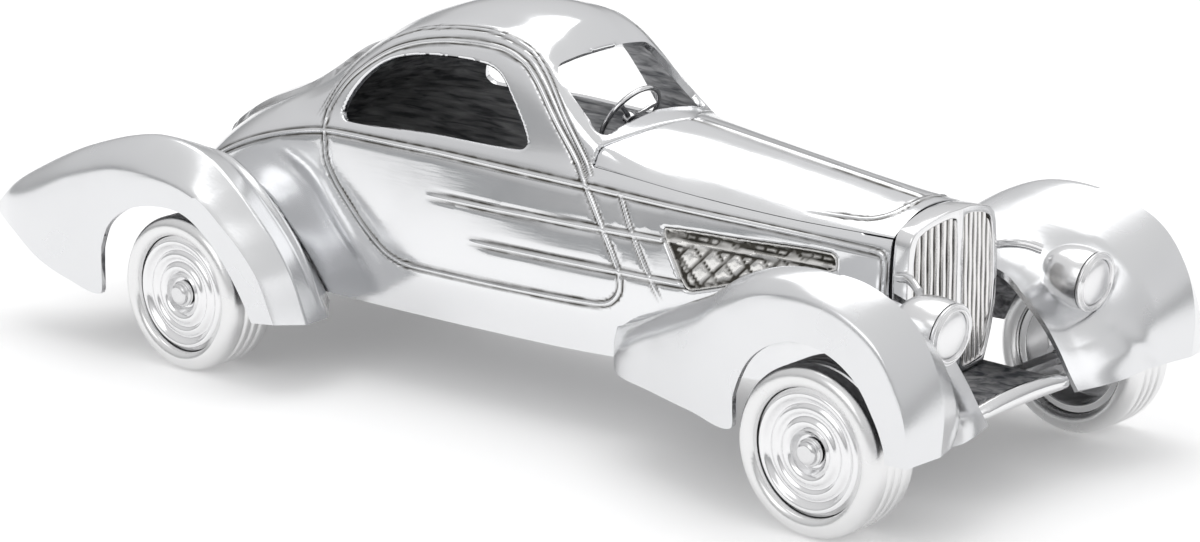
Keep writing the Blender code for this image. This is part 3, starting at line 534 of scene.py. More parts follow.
def rasped(name, dark, light, grain):
    """Unpolished casting, worked over with a rasp: rough, dark, with short bright strokes."""
    material = bpy.data.materials.new(name)
    material.use_nodes = True
    tree = material.node_tree
    link = tree.links.new
    shader = tree.nodes["Principled BSDF"]
    shader.inputs["Metallic"].default_value = 0.85
    where = add_node(tree, "TexCoord").outputs["Object"]
    stretch = add_node(tree, "Mapping", {"Scale": grain})
    strokes = add_node(tree, "TexNoise", {"Scale": 1.0, "Detail": 6, "Distortion": 0.6})
    shade = add_node(tree, "ValToRGB")
    for stop, position, colour in zip(shade.color_ramp.elements, (0.35, 0.7), (dark, light)):
        stop.position = position
        stop.color = (*colour, 1)
    rough = add_node(tree, "MapRange", {"To Min": 0.7, "To Max": 0.3})
    relief = add_node(tree, "Bump", {"Strength": 0.8, "Distance": 0.0006})
    link(where, stretch.inputs["Vector"])
    link(stretch.outputs["Vector"], strokes.inputs["Vector"])
    link(strokes.outputs["Fac"], shade.inputs["Fac"])
    link(shade.outputs["Color"], shader.inputs["Base Color"])
    link(strokes.outputs["Fac"], rough.inputs["Value"])
    link(rough.outputs["Result"], shader.inputs["Roughness"])
    link(strokes.outputs["Fac"], relief.inputs["Height"])
    link(relief.outputs["Normal"], shader.inputs["Normal"])
    return material


mirror_metal = polished("mirror_polished_aluminium", (0.81, 0.815, 0.825), 0.13, 0.05, 0.10, 0.25)
inside_metal = rasped("rasped_inner_wall_painted_shade", (0.20, 0.205, 0.22), (0.96, 0.96, 0.97), (60, 260, 480))
tree = inside_metal.node_tree
shader = tree.nodes["Principled BSDF"]
shader.inputs["Metallic"].default_value = 0.25
# Painted light and shade: the inner wall's colour is kept full ahead of a slanted line through the cabin as
# painted light from the windscreen, and multiplied by 0.4 behind it as painted shade.
lean = add_node(tree, "VectorMath", {1: (1.0, 0.0, 0.75)}, operation="DOT_PRODUCT")
lit_fore_shaded_aft = add_node(tree, "MapRange", {"From Min": 0.012, "From Max": 0.015, "To Min": 0.4, "To Max": 1.0})
painted_light_and_shade = add_node(tree, "Mix", {"Factor": 1.0}, data_type="RGBA", blend_type="MULTIPLY")
tree.links.new(add_node(tree, "TexCoord").outputs["Object"], lean.inputs[0])
tree.links.new(lean.outputs["Value"], lit_fore_shaded_aft.inputs["Value"])
tree.links.new(tree.nodes["Color Ramp"].outputs["Color"], painted_light_and_shade.inputs["A"])
tree.links.new(lit_fore_shaded_aft.outputs["Result"], painted_light_and_shade.inputs["B"])
tree.links.new(painted_light_and_shade.outputs["Result"], shader.inputs["Base Color"])

WINDSCREEN_FOOT = (13.0, 106.5)
WINDSCREEN_RAKE = math.radians(39)
REAR_WINDOW_FOOT = (-128.0, 111.0)
REAR_WINDOW_RAKE = math.radians(146)


def screen_plane(foot, rake):
    def project(p):
        up = -(p[:, 0] - foot[0]) * math.cos(rake) + (p[:, 2] - foot[1]) * math.sin(rake)
        return np.stack([-p[:, 1], up], 1)
    return project


side_window = smooth_curve([(-105.5, 99), (-100, 109.5), (-91, 117.5), (-80, 122.2), (-62, 125), (-40, 125.2),
                            (-31.5, 122.8), (-25, 115.4), (-16.8, 103), (-15.8, 99.4), (-19, 97.4),
                            (-60, 97.6), (-102, 96.2)], closed=True)
windscreen = np.concatenate([
    smooth_curve([(0, 2), (20, 0.4), (26.6, -0.6), (29, 2), (28.6, 8), (27, 27), (25.6, 31), (22, 32.6),
                  (0, 33)]),
    [(-5, 33), (-5, 2)]])
rear_pane = smooth_curve([(2.2, 0.2), (9, 0.6), (13.5, 3.5), (14.5, 7), (12, 10), (2.2, 10.8)], closed=True)
vent = smooth_curve([(48, 79.4), (80, 79.9), (115.5, 80.4), (118.2, 78.6), (117.8, 74.4), (90, 67),
                     (61, 58.6), (58, 59.6), (52.6, 68.6), (47.4, 77.6)], closed=True)
hinge_line = np.array([(30.5, -6), (30.5, 0), (24.5, 12), (19.5, 22), (15.5, 30), (13.1, 34.8)])
shoulder_x = np.linspace(14.2, NOSE_X + 3, 160)
shoulder_edge = from_above(body_point(shoulder_x, np.full(160, SHOULDER)))
bonnet_outline = np.concatenate([smooth_curve(hinge_line), shoulder_edge, [(NOSE_X + 3, -6)]])
openings = [
    (from_side, lambda x, v: (v < 4.6) & (x < 20), side_window, 3.3),
    (screen_plane(WINDSCREEN_FOOT, WINDSCREEN_RAKE), lambda x, v: (v > 3.1) & (x > -26) & (x < 26),
     windscreen, 4.8),
    (screen_plane(REAR_WINDOW_FOOT, REAR_WINDOW_RAKE), lambda x, v: (v > 4) & (x < -90), rear_pane, 5.4),
    (from_side, lambda x, v: v < 2.5, vent, 1.7),
    (from_above, lambda x, v: (v > SHOULDER) & (x > 8), bonnet_outline, 4.5),
]
door_line = [(-112, 91), (-109, 79), (-95, 64), (-80, 52), (-71, 48.4), (-60, 47.6), (20, 48.2), (27.5, 49.6),
             (31.6, 54.5), (30.8, 61), (23, 74), (12, 90), (-2, 106.5), (-19, 126), (-33, 131.6), (-58, 131),
             (-83, 125), (-103, 112.5), (-112.5, 99), (-112, 91)]
drip_line = [(-118, 95), (-107, 115.5), (-84, 129.4), (-58, 135.2), (-33, 135.4), (-17, 129), (1.4, 108),
             (14.5, 91.5)]
belt_x = np.linspace(-224, 133, 720)
body_lines = [
    (body_point(belt_x, np.full(720, BELT)), 1.0, 20, 0),
    (on_body(smooth_curve([(132.4, 83.6), (136, 82.6), (137.4, 79), (137, 70), (136.4, 58)]), from_side, 1.9),
     1.0, 0, 4),
    (on_body(smooth_curve(door_line), from_side, 2.0), 1.0, 0, 0),
    (on_body(smooth_curve(drip_line), from_side, 3.5), 0.8, 8, 2),
    (on_body(smooth_curve([(28, 87.6), (35, 75), (49, 53)]), from_side, 1.7), 0.85, 0, 6),
    (on_body(smooth_curve([(-59, 75.4), (0, 75.2), (47, 74.8)]), from_side, 1.5), 1.1, 12, 0),
    (on_body(smooth_curve([(-38, 61.8), (10, 61.6), (58, 60.4)]), from_side, 1.2), 1.1, 12, 0),
]


lid_edge = smooth_curve([(-121, 22.5), (-140, 21.5), (-160, 19.6), (-180, 15.6), (-196, 10), (-202, 4),
                         (-203, -4), (-150, -6), (-121, -6)], closed=True)
LID_RISE = 1.5


def body_relief(points, x, v, lines):
    """The beads, and the boot lid raised over the tail with a dark line at its foot."""
    height, dark = beads(points, lines)
    tail = np.where((v > 3.4) & (x < -112) & (x > -212))[0]
    flat = from_above(points[tail])
    edge = np.array([np.min(np.hypot(*(lid_edge - q).T)) for q in flat])
    signed = np.where(inside(flat, lid_edge), edge, -edge)
    signed = np.where(flat[:, 1] < 0.01, np.maximum(signed, 2) * (flat[:, 0] > -203), signed)
    step = np.clip((signed + 0.3) / 1.3, 0, 1)
    height[tail] += LID_RISE * step**2 * (3 - 2 * step)
    dark[tail] = np.maximum(dark[tail], 0.9 * np.exp(-((signed + 0.3) / 0.5)**2))
    return height, dark


body = make_skin("polished_body", TAIL_X, NOSE_X, 0.0, CENTRE, openings, False, body_lines, body_relief,
                 mirror_metal, inside_metal)
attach(body, "car")
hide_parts("body_shell")

# Bonnet.
# A separate cast lid, polished with the body, with a raised strip down its middle where real bonnets hinge
# and a beaded front edge. It lies on the cowl with a fine gap all round.
bonnet_lines = [
    (body_point(np.linspace(31, 134, 210), np.full(210, CENTRE)), 1.5, 0, 3),
    (on_body(smooth_curve([(134.6, 0), (134, 8), (131.6, 15), (126, 19.4), (116, 21.4), (100, 23.2)]),
             from_above, 5.0), 0.9, 0, 16),
]
lid_outline = bonnet_outline + np.where(np.arange(len(bonnet_outline)) < len(smooth_curve(hinge_line)), 0.4,
                                        0)[:, None] * [1, 0]
bonnet = make_skin("bonnet_lid", 8.0, NOSE_X, SHOULDER + 0.03, CENTRE,
                   [(from_above, lambda x, v: x < 60, lid_outline, 4.5)], True, bonnet_lines,
                   lambda points, x, v, lines: beads(points, lines), mirror_metal, inside_metal)
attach(bonnet, "car")
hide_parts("bonnet")

# Side vents.
# A cast grille in each flank of the engine bay: a sunk floor of bright pads between dark grooves that cross
# in diamonds, with a frame and a bright bar through the middle. The left one is the mirror of the right.
VENT_SINK = 1.5
GROOVE_PITCH = 9.2
GROOVE_HALF = 0.6
GROOVE_SLOPE = 1.05
BAR_HALF = 0.7
vent_metal = polished("antiqued_vent_relief", (0.80, 0.79, 0.77), 0.24, 0.08, 0.35, 0.6)
vent_inner = vent + (np.array([84.0, 70.0]) - vent) * [0.004, 0.018]


def vent_relief(points, x, v, lines):
    flat = from_side(points)
    nearest = np.full(len(points), 9.0)
    for sign in (-1, 1):
        run = flat[:, 0] - 50 + sign * (flat[:, 1] - 75.2) / GROOVE_SLOPE
        off = abs((run + GROOVE_PITCH / 2) % GROOVE_PITCH - GROOVE_PITCH / 2)
        off = off * GROOVE_SLOPE / math.hypot(1, GROOVE_SLOPE)
        nearest = np.minimum(nearest, off)
    bar = abs(flat[:, 1] - 75.0 - (flat[:, 0] - 50) * 0.008)
    edge = np.concatenate([vent_inner, vent_inner[:1]])
    rim = np.array([np.min(np.hypot(*(edge - q).T)) for q in flat])
    grooves = np.exp(-(nearest / GROOVE_HALF)**2)
    beside_bar = np.exp(-((bar - 1.35) / 0.45)**2)
    foot = np.exp(-((rim - 1.5) / 0.75)**2)
    middle = np.exp(-(bar / BAR_HALF)**4)
    frame = np.exp(-(np.maximum(rim - 0.45, 0) / 0.4)**2)
    lump = 0.16 * np.sin(flat[:, 0] * 1.7 + flat[:, 1]) * np.sin(flat[:, 1] * 2.1)
    top = np.maximum(middle, frame)
    dark = np.maximum(np.maximum(grooves, beside_bar), foot) * (1 - top)
    height = -VENT_SINK + (0.75 + lump) * (1 - dark) * (1 - top) + (VENT_SINK - 0.1) * top
    return height, np.clip(dark * 1.2, 0, 1)


vents = make_skin("vent_relief", 46.0, 120.0, 1.0, 2.35, [(from_side, lambda x, v: x < 200, vent_inner, 1.7)],
                  True, [], vent_relief, vent_metal, inside_metal, coarse=1.0, wall=2.2)
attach(vents, "car")
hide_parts("side_vent_left", "side_vent_right")

# Fenders.
# Four thin castings, satin outside and rasped dark inside. Each is a lofted skin: a flat outer face over
# the wheel, a crown that sharpens into creases ahead of it, and a hollow web that runs in to the body.
FRONT_FENDER = [
    [(35, 49, 33), (35, 49, 37), (35.5, 48.6, 41), (36, 48, 43.6), (37, None, 45)],
    [(48, 62.5, 32), (49, 63, 40), (52, 60, 48), (54, 54, 51), (57, None, 51.5)],
    [(71, 71, 32), (72, 71.4, 49), (75, 67, 59.5), (77, 57, 62), (79, None, 60.5)],
    [(95, 79, 32), (96, 79.4, 60), (99, 73, 71.6), (101, 58, 72), (102, None, 67)],
    [(118, 85.6, 32), (112, 84, 70.6), (114, 75, 81.4), (115, 57.5, 77.5), (117, None, 69)],
    [(119.4, 86, 44), (126, 86, 78.6), (127, 74.5, 87), (127, 57, 79), (129, None, 69.4)],
    [(127, 86, 58.4), (139, 86, 82), (139, 74, 89.4), (139, 57, 79.6), (140, 28, 68.6)],
    [(141, 86, 66.6), (152, 86, 82.4), (152, 73.6, 89.6), (152, 57, 78.8), (149.5, 27.6, 66)],
    [(157, 86, 66.2), (165.5, 86, 79.2), (167, 73, 87.6), (166, 57, 76), (157.5, 26.6, 60.4)],
    [(170, 86, 59), (179, 86, 70.4), (183, 73, 80), (180, 57.4, 67.6), (166, 26.4, 52.6)],
    [(178.4, 86, 47), (187, 86, 58), (193, 73, 66.6), (188, 58, 57.6), (172.6, 26.2, 44)],
    [(182.2, 86, 38.4), (191, 86, 46), (197, 73, 51), (191, 58, 47), (177, 26, 37)],
    [(183, 86, 33), (191.6, 85.6, 33), (196, 73, 35), (189.6, 58, 33.4), (181, 26, 31)],
]
REAR_FENDER = [
    [(-263.6, 73.5, 39.6), (-264.6, 73.4, 42.4), (-265.6, 71.5, 44.6), (-264.6, 69, 43.4),
     (-263, 68.6, 40.4)],
    [(-249, 80.4, 37.6), (-251, 79.8, 48), (-252, 73.4, 55), (-251, 64, 51), (-248.6, 60, 40)],
    [(-231, 83.8, 29.6), (-233, 83.8, 54), (-234, 74, 64.8), (-233, 60, 59), (-230.6, 47, 44)],
    [(-211, 85.6, 24.6), (-213, 85.8, 63), (-214, 74, 74), (-213, 58, 67.6), (-211, None, 48)],
    [(-193, 86, 22.6), (-195, 86, 68.6), (-197, 74, 80), (-195, 57.4, 73.4), (-192, None, 54)],
    [(-192.6, 86, 36), (-184, 86, 71.6), (-184, 73.4, 83.6), (-183, 57, 76.6), (-180, None, 59.6)],
    [(-187.6, 86, 49.6), (-172, 86, 73.2), (-172, 73, 85.6), (-172, 57, 78.8), (-168, None, 63)],
    [(-177, 86, 58), (-159.6, 86, 73.6), (-158, 73, 85.4), (-160, 57.4, 79.6), (-157, None, 65)],
    [(-162, 86, 62), (-147, 86, 72), (-144, 73, 81.6), (-147, 58.4, 77.6), (-148, None, 64)],
    [(-146, 86, 61.6), (-136, 86, 68), (-132, 73, 74), (-133, 60, 71.6), (-139, None, 59.4)],
    [(-133, 86, 54.4), (-125, 86, 60.4), (-120.4, 73, 64), (-120.4, 60, 60.6), (-130, None, 51.6)],
    [(-123.4, 86, 45), (-115, 86, 52.4), (-110, 73, 54), (-110.6, 60, 49.6), (-122, None, 43)],
    [(-116, 86, 35), (-106.6, 86, 43), (-101.4, 73, 42.4), (-103.4, 60, 37.6), (-115, None, 33.6)],
    [(-110.6, 86, 26), (-99, 86, 27.4), (-94, 73, 25.6), (-96.4, 60, 25), (-110, None, 26.4)],
]
FRONT_SAG = [0.5, 1.5, 2.2, 2.2, 2.2, 2.2, 3.2, 5, 6.4, 6.8, 5.6, 3.4, 1.4]
REAR_SAG = [0.3, 1, 1.5, 2, 2, 2, 2, 2, 2, 1.5, 1, 0.5, 0, 0]
FRONT_CREASE = [0, 0, 0, 0, 0, 0.1, 0.35, 0.7, 0.9, 1, 1, 1, 1]
REAR_CREASE = [0, 0, 0, 0, 0, 0, 0.15, 0.6, 0.9, 1, 1, 1, 1, 1]
FENDER_WALL = 2.0
EDGE_GAP = 0.6
OUTER_Y = 86.2               # the outer faces come up to this softly
OUTER_EASE = 0.6
BODY_END_X = 141             # ahead of this a web has no body to stay clear of
RIDGE_HALF = 2.2
RIDGE_GROOVE_AWAY = 3.4
RIDGE_GROOVE_HALF = 1.2
ROW_STEPS = 14
SPAN_STEPS = 7


def beside_body(points):
    """Half width of the body at each point's place along and height."""
    v = np.linspace(0, 5, 90)
    found = np.zeros(len(points))
    for k, (x, z) in enumerate(points[:, [0, 2]]):
        section = body_point(np.full(90, np.clip(x, TAIL_X, NOSE_X)), v)
        found[k] = np.interp(z, section[:, 2], -section[:, 1])
    return found


def through(points, steps):
    """A curve through each row's points in turn, steps to a span: points is rows by points by 3."""
    padded = np.concatenate([2 * points[:, :1] - points[:, 1:2], points,
                             2 * points[:, -1:] - points[:, -2:-1]], 1)
    spans = []
    for k in range(points.shape[1] - 1):
        before, a, b, after = (padded[:, k + n][:, None] for n in range(4))
        first, middle, third = (np.linalg.norm(q - p, axis=2)[..., None] + 1e-6
                                for p, q in ((before, a), (a, b), (b, after)))
        t = (np.arange(steps) / steps)[None, :, None]
        spans.append(hermite(a, b, (b - before) / (first + middle) * middle,
                             (after - a) / (middle + third) * middle, t))
    return np.concatenate(spans + [points[:, -1:]], 1)


def fender_grid(rows, sags, creases):
    """A fender's skin through its sections, rounded where crease is 0 and edged where it is 1."""
    filled = np.array([[(x, -1 if y is None else y, z) for x, y, z in row] for row in rows], float)
    for row in filled:
        if row[-1, 1] < 0:
            row[-1, 1] = beside_body(row[-1:])[0]
    dense = through(filled.transpose(1, 0, 2), ROW_STEPS).transpose(1, 0, 2)
    share = np.linspace(0, len(rows) - 1, len(dense))
    sag = np.interp(share, range(len(rows)), sags)[:, None, None]
    crease = np.interp(share, range(len(rows)), creases)[:, None, None]
    low, outer, crown, inner, edge = (dense[:, k:k + 1] for k in range(5))
    face = (outer - low) / (np.linalg.norm(outer - low, axis=2)[..., None] + 1e-6)
    over = (inner - outer) / (np.linalg.norm(inner - outer, axis=2)[..., None] + 1e-6)
    first = np.linalg.norm(crown - outer, axis=2)[..., None]
    second = np.linalg.norm(inner - crown, axis=2)[..., None]
    rise = hermite(outer, crown, face * first, over * first, 0.5)
    fall = hermite(crown, inner, over * second, inner - crown, 0.5)
    web = [inner + (edge - inner) * t + np.array([-0.4, 0, -1]) * sag * deep for t, deep in
           ((0.33, 1.0), (0.67, 0.85))]
    smooth = through(np.concatenate([low, outer, rise, crown, fall, inner, *web, edge], 1), SPAN_STEPS)
    corners = [outer, (outer + crown) / 2, crown, (crown + inner) / 2, inner, *web, edge]
    t = (np.arange(SPAN_STEPS) / SPAN_STEPS)[None, :, None]
    hard = np.concatenate([low + (outer - low) * t, *(a + (b - a) * t for a, b in zip(corners, corners[1:])),
                           edge], 1)
    hard[:, 5 * SPAN_STEPS:] = smooth[:, 5 * SPAN_STEPS:]
    grid = smooth * (1 - crease) + hard * crease
    flat = grid.reshape(-1, 3)
    flat[:, 1] = OUTER_Y - OUTER_EASE * np.log1p(np.exp((OUTER_Y - flat[:, 1]) / OUTER_EASE))
    on_web = np.tile(np.arange(grid.shape[1]), len(grid)) > 6 * SPAN_STEPS
    near = (flat[:, 0] > TAIL_X) & (flat[:, 0] < BODY_END_X) & on_web
    flat[near, 1] = np.maximum(flat[near, 1], beside_body(flat[near]) + EDGE_GAP)
    return flat.reshape(grid.shape)


def grid_normals(grid):
    """Normals of a grid, averaged over their neighbours so that pinched cells take their neighbours' way."""
    normals = np.cross(np.gradient(grid, axis=0), np.gradient(grid, axis=1))
    for _ in range(3):
        wide = np.pad(normals, ((1, 1), (1, 1), (0, 0)), mode="edge")
        normals = sum(wide[a:a + len(normals), b:b + normals.shape[1]]
                      for a in range(3) for b in range(3)) / 9
    return normals / (np.linalg.norm(normals, axis=2)[..., None] + 1e-12)


satin_metal = polished("satin_fender_aluminium", (0.76, 0.765, 0.775), 0.24, 0.05, 0.06, 0.35)
under_metal = rasped("rasped_fender_underside", (0.08, 0.08, 0.085), (0.36, 0.36, 0.37), (260, 300, 420))
front_grid = fender_grid(FRONT_FENDER, FRONT_SAG, FRONT_CREASE)
rear_grid = fender_grid(REAR_FENDER, REAR_SAG, REAR_CREASE)
web_seam = smooth_curve([(178, 47, 53), (181, 52, 46), (184, 58, 40.5), (188, 63, 35), (190, 65, 32)])
rear_ridge = smooth_curve([(-160, 58, 80.6), (-147, 58.4, 78.4), (-133, 60, 71.8), (-120.4, 60, 60.8),
                           (-110.6, 60, 49.8), (-103.4, 60, 38), (-97, 60, 26)])
for end, grid, drawn, ridge_rise, groove_depth in (("front", front_grid, web_seam, 0.7, 0.1),
                                                   ("rear", rear_grid, rear_ridge, 0.8, 0.3)):
    flat = grid.reshape(-1, 3)
    laid = np.array([flat[np.argmin(((flat - p)**2).sum(1))] for p in drawn[::6]])
    for _ in range(6):
        laid[1:-1] = (laid[:-2] + 2 * laid[1:-1] + laid[2:]) / 4
    away, share = distance_to(flat, smooth_curve(laid))
    fade = np.clip(share * 8, 0, 1) * np.clip((1 - share) * 6, 0, 1)
    ridge = ridge_rise * fade * np.exp(-(away / RIDGE_HALF)**2)
    groove = fade * np.exp(-((away - RIDGE_GROOVE_AWAY) / RIDGE_GROOVE_HALF)**2) * groove_depth
    normals = grid_normals(grid).reshape(-1, 3)
    turn = np.sign(normals[len(normals) // 2] @ np.array([0, 0.3, 1]))
    up = normals * turn
    shaped = flat + up * (ridge - groove)[:, None]
    rows, columns = grid.shape[:2]
    beside = np.clip(2 - np.tile(np.arange(columns), rows) / SPAN_STEPS, 0, 1)[:, None]
    depth = (up * (1 - beside) + np.array([0, 1, 0]) * beside) * FENDER_WALL
    quads = [[a * columns + b, (a + 1) * columns + b, (a + 1) * columns + b + 1, a * columns + b + 1]
             for a in range(rows - 1) for b in range(columns - 1)]
    for side, sign in (("right", -1), ("left", 1)):
        flip = np.array([1, sign, 1])
        facing = [list(reversed(q)) if sign * turn < 0 else q for q in quads]
        fender = shell_object(f"{end}_fender_skin_{side}", shaped * flip, (shaped - depth) * flip,
                              np.zeros(len(flat)), facing, None, satin_metal, under_metal)
        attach(fender, "car")
        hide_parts(f"{end}_fender_{side}")

# Tyres.
# Each is turned from a solid ring of aluminium: a smooth swollen sidewall and three grooves round the tread,
# satin all over. It is pressed on its disc and turns with it.
TYRE_FACE_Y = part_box("tyre_front_left")[1].y / MM
TYRE_WIDTH = 23.4
LATHE_STEPS = 96


def rounded(profile, radius):
    """A profile with its inner corners rounded off."""
    profile = [Vector(p) for p in profile]
    found = [profile[0]]
    for before, corner, after in zip(profile, profile[1:], profile[2:]):
        cut = min(radius, (before - corner).length / 2.2, (after - corner).length / 2.2)
        start = corner + (before - corner).normalized() * cut
        end = corner + (after - corner).normalized() * cut
        for t in (0, 0.25, 0.5, 0.75, 1):
            found.append(start * (1 - t)**2 + corner * 2 * t * (1 - t) + end * t**2)
    return [tuple(p) for p in found + [profile[-1]]]


def drawn_line(name, spots):
    """A line drawn point by point, left in edit mode."""
    bpy.ops.object.select_all(action="DESELECT")
    bpy.ops.mesh.primitive_plane_add(size=0.001, location=(0, 0, 0))
    obj = bpy.context.object
    obj.name = name
    bpy.ops.object.mode_set(mode="EDIT")
    bpy.ops.mesh.merge(type="CENTER")
    bpy.ops.transform.translate(value=spots[0])
    for a, b in zip(spots, spots[1:]):
        bpy.ops.mesh.extrude_region_move(TRANSFORM_OT_translate={"value": b - a})
    bpy.ops.mesh.select_all(action="SELECT")
    return obj


def closed_up():
    """Merges the drawn piece's doubles, turns its faces out and leaves edit mode."""
    bpy.ops.mesh.select_all(action="SELECT")
    bpy.ops.mesh.remove_doubles(threshold=0.000002)
    bpy.ops.mesh.normals_make_consistent(inside=False)
    bpy.ops.object.mode_set(mode="OBJECT")


def lathe(name, profile, centre, axis, steps=LATHE_STEPS):
    """A turned piece: its outline is drawn, spun round the axis and closed."""
    axis = Vector(axis).normalized()
    centre = Vector(centre) * MM
    out = axis.orthogonal().normalized()
    obj = drawn_line(name, [centre + (axis * d + out * r) * MM for r, d in profile])
    bpy.ops.mesh.spin(steps=steps, angle=2 * math.pi, center=centre, axis=axis)
    closed_up()
    bpy.ops.object.shade_smooth_by_angle(angle=math.radians(35))
    return obj


def copied(obj, name, move=(0, 0, 0), mirror_y=False):
    """A copy with its own mesh, moved or mirrored left to right within it."""
    twin = obj.copy()
    twin.data = obj.data.copy()
    twin.name = name
    bpy.context.scene.collection.objects.link(twin)
    for vert in twin.data.vertices:
        vert.co += Vector(move)
        if mirror_y:
            vert.co.y *= -1
    if mirror_y:
        twin.data.flip_normals()
    return twin


satin_tyre = polished("satin_tyre_aluminium", (0.80, 0.80, 0.80), 0.24, 0.05, 0.05, 0.5)
wall_curve = smooth_curve([(22.4, -1.9), (22.8, -1.0), (24.0, -0.25), (25.8, 0), (27.6, -0.5), (28.9, -1.7),
                           (29.55, -3.2), (29.7, -4.8)], spacing=0.35)
tyre_profile = [tuple(p) for p in wall_curve]
for start in (-7.4, -11.5, -15.6):
    tyre_profile += rounded([(29.7, start + 1.3), (29.62, start + 0.75), (28.75, start + 0.1),
                             (28.75, start - 0.5), (29.62, start - 1.15), (29.7, start - 1.7)], 0.5)
tyre_profile += [(r, -TYRE_WIDTH - d) for r, d in reversed(tyre_profile[:len(wall_curve)])]
tyre_profile.append(tyre_profile[0])
front_x, rear_x = ((low.x + high.x) / 2 / MM for low, high in (axle_boxes["front"], axle_boxes["rear"]))
tyre = lathe("tyre_ring_front_right", tyre_profile, (front_x, -TYRE_FACE_Y, WHEEL_RADIUS), (0, -1, 0))
tyre.data.materials.append(satin_tyre)


def four_of(first, part):
    """The first piece and its three copies, one at each wheel, each with the wheel it stands at."""
    back = (Vector((rear_x - front_x, 0, 0)) * MM)
    return [(first, "front_right"), (copied(first, f"{part}_rear_right", back), "rear_right"),
            (copied(first, f"{part}_front_left", mirror_y=True), "front_left"),
            (copied(first, f"{part}_rear_left", back, mirror_y=True), "rear_left")]


for piece, corner in four_of(tyre, "tyre_ring"):
    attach(piece, f"{corner}_wheel")
    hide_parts(f"tyre_{corner}")

# Wheel discs.
# Turned aluminium discs with raised rings and a sunk cup round the hub, polished with the tool's own fine
# circles left in them.
disc_metal = polished("turned_wheel_aluminium", (0.84, 0.84, 0.845), 0.17, 0.04, 0.05, 0.2)
BORE = 2.95
disc_curve = smooth_curve([(8.3, -2.9), (9.2, -2.2), (10.6, -2.1), (11.8, -2.9), (12.9, -3.1), (14.2, -2.3),
                           (15.6, -2.5), (16.8, -3.3), (18.0, -2.7), (19.2, -1.7), (20.4, -1.7), (21.3, -2.6),
                           (22.0, -3.2)], spacing=0.3)
disc_profile = rounded([(BORE, -4.6), (6.0, -4.6), (7.0, -3.4), (7.6, -2.2)], 0.6)
disc_profile += [tuple(p) for p in disc_curve]
disc_profile += rounded([(22.05, -TYRE_WIDTH + 3), (19.4, -TYRE_WIDTH + 3), (19.4, -6.4), (8, -6.6),
                         (6, -TYRE_WIDTH + 0.2), (BORE, -TYRE_WIDTH + 0.2), (BORE, -4.6)], 0.5)
disc = lathe("wheel_disc_front_right", disc_profile, (front_x, -TYRE_FACE_Y, WHEEL_RADIUS), (0, -1, 0))
disc.data.materials.append(disc_metal)
for piece, corner in four_of(disc, "wheel_disc"):
    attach(piece, f"{corner}_wheel")
    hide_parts(f"wheel_{corner}")

# Hub nuts.
# Round turned nuts with a flat face and a broad chamfer, screwed on the ends of the fixed axles, so they
# stay still while the wheels turn.
nut_metal = polished("turned_nut_steel", (0.74, 0.74, 0.745), 0.2, 0.05, 0.05, 0.4)
nut_profile = rounded([(0, -0.2), (2.9, -0.2), (3.9, -0.75), (4.0, -2.2), (4.9, -2.5), (4.9, -4.0),
                       (2.7, -4.0), (2.7, -2.2), (0, -2.2)], 0.3)
nut = lathe("hub_nut_turned_front_right", nut_profile, (front_x, -TYRE_FACE_Y, WHEEL_RADIUS), (0, -1, 0), 64)
nut.data.materials.append(nut_metal)
for piece, corner in four_of(nut, "hub_nut_turned"):
    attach(piece, "car")
    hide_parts(f"hub_nut_{corner}")

# Headlamps.
# Spun bowls with a stepped double rim round a slightly domed satin face, set in the fender webs and tied to
# the grille by a bar on each side.
LAMP_CENTRE = (177.0, -41.6, 65.4)
LAMP_TILT = math.radians(-7)
lamp_at = (LAMP_CENTRE[0] + MID_AXLE_X, LAMP_CENTRE[1], LAMP_CENTRE[2])
lamp_ahead = (math.cos(LAMP_TILT), 0, math.sin(LAMP_TILT))
lamp_metal = polished("polished_lamp_aluminium", (0.84, 0.84, 0.845), 0.24, 0.05, 0.05, 0.2)
face_metal = polished("satin_lamp_face", (0.86, 0.86, 0.865), 0.36, 0.05, 0.04, 0.3)
bowl_outer = smooth_curve([(0, -21.5), (2.5, -21.2), (5.6, -20.0), (8.4, -17.2), (10.2, -13.2), (11.0, -8.6),
                           (11.1, -5.4), (10.9, -3), (10.7, -1.7)], spacing=0.5)
bowl_outer[0, 0] = 0
bowl_profile = [tuple(p) for p in bowl_outer] + [(9, -1.7), (9.4, -8), (7, -15), (0, -18)]
bowl = lathe("lamp_bowl_right", bowl_profile, lamp_at, lamp_ahead, 72)
bowl.data.materials.append(lamp_metal)
rim_profile = rounded([(8.3, -1.3), (10.8, -1.3), (11.0, -0.4), (10.6, 0.2), (10.1, 0.1), (9.9, -0.35),
                       (9.6, 0.2), (9.2, 0.9), (8.6, 0.7), (8.3, 0.1), (8.3, -1.3)], 0.25)
rim = lathe("lamp_rim_right", rim_profile, lamp_at, lamp_ahead, 72)
rim.data.materials.append(lamp_metal)
face_profile = [(0, 1.3), (2, 1.25), (4.2, 1.0), (6.2, 0.55), (7.6, 0.05), (8.2, -0.5), (8.2, -1.4),
                (0, -1.4)]
face = lathe("lamp_face_right", face_profile, lamp_at, lamp_ahead, 72)
face.data.materials.append(face_metal)
for first, part, slot_name, node in ((bowl, "lamp_bowl", "polished_lamp", "headlamp_bowl"),
                                     (rim, "lamp_rim", "polished_lamp", "headlamp_bezel"),
                                     (face, "lamp_face", "lamp_face", "headlamp_lens")):
    for piece, side in ((first, "right"), (copied(first, f"{part}_left", mirror_y=True), "left")):
        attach(piece, "car")
        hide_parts(f"{node}_{side}")

# Lamp bars and apron.
# Smooth bars swept along a curve, polished: one from each side of the grille out to its lamp, and a broad
# bowed one that joins the two front fenders low down.


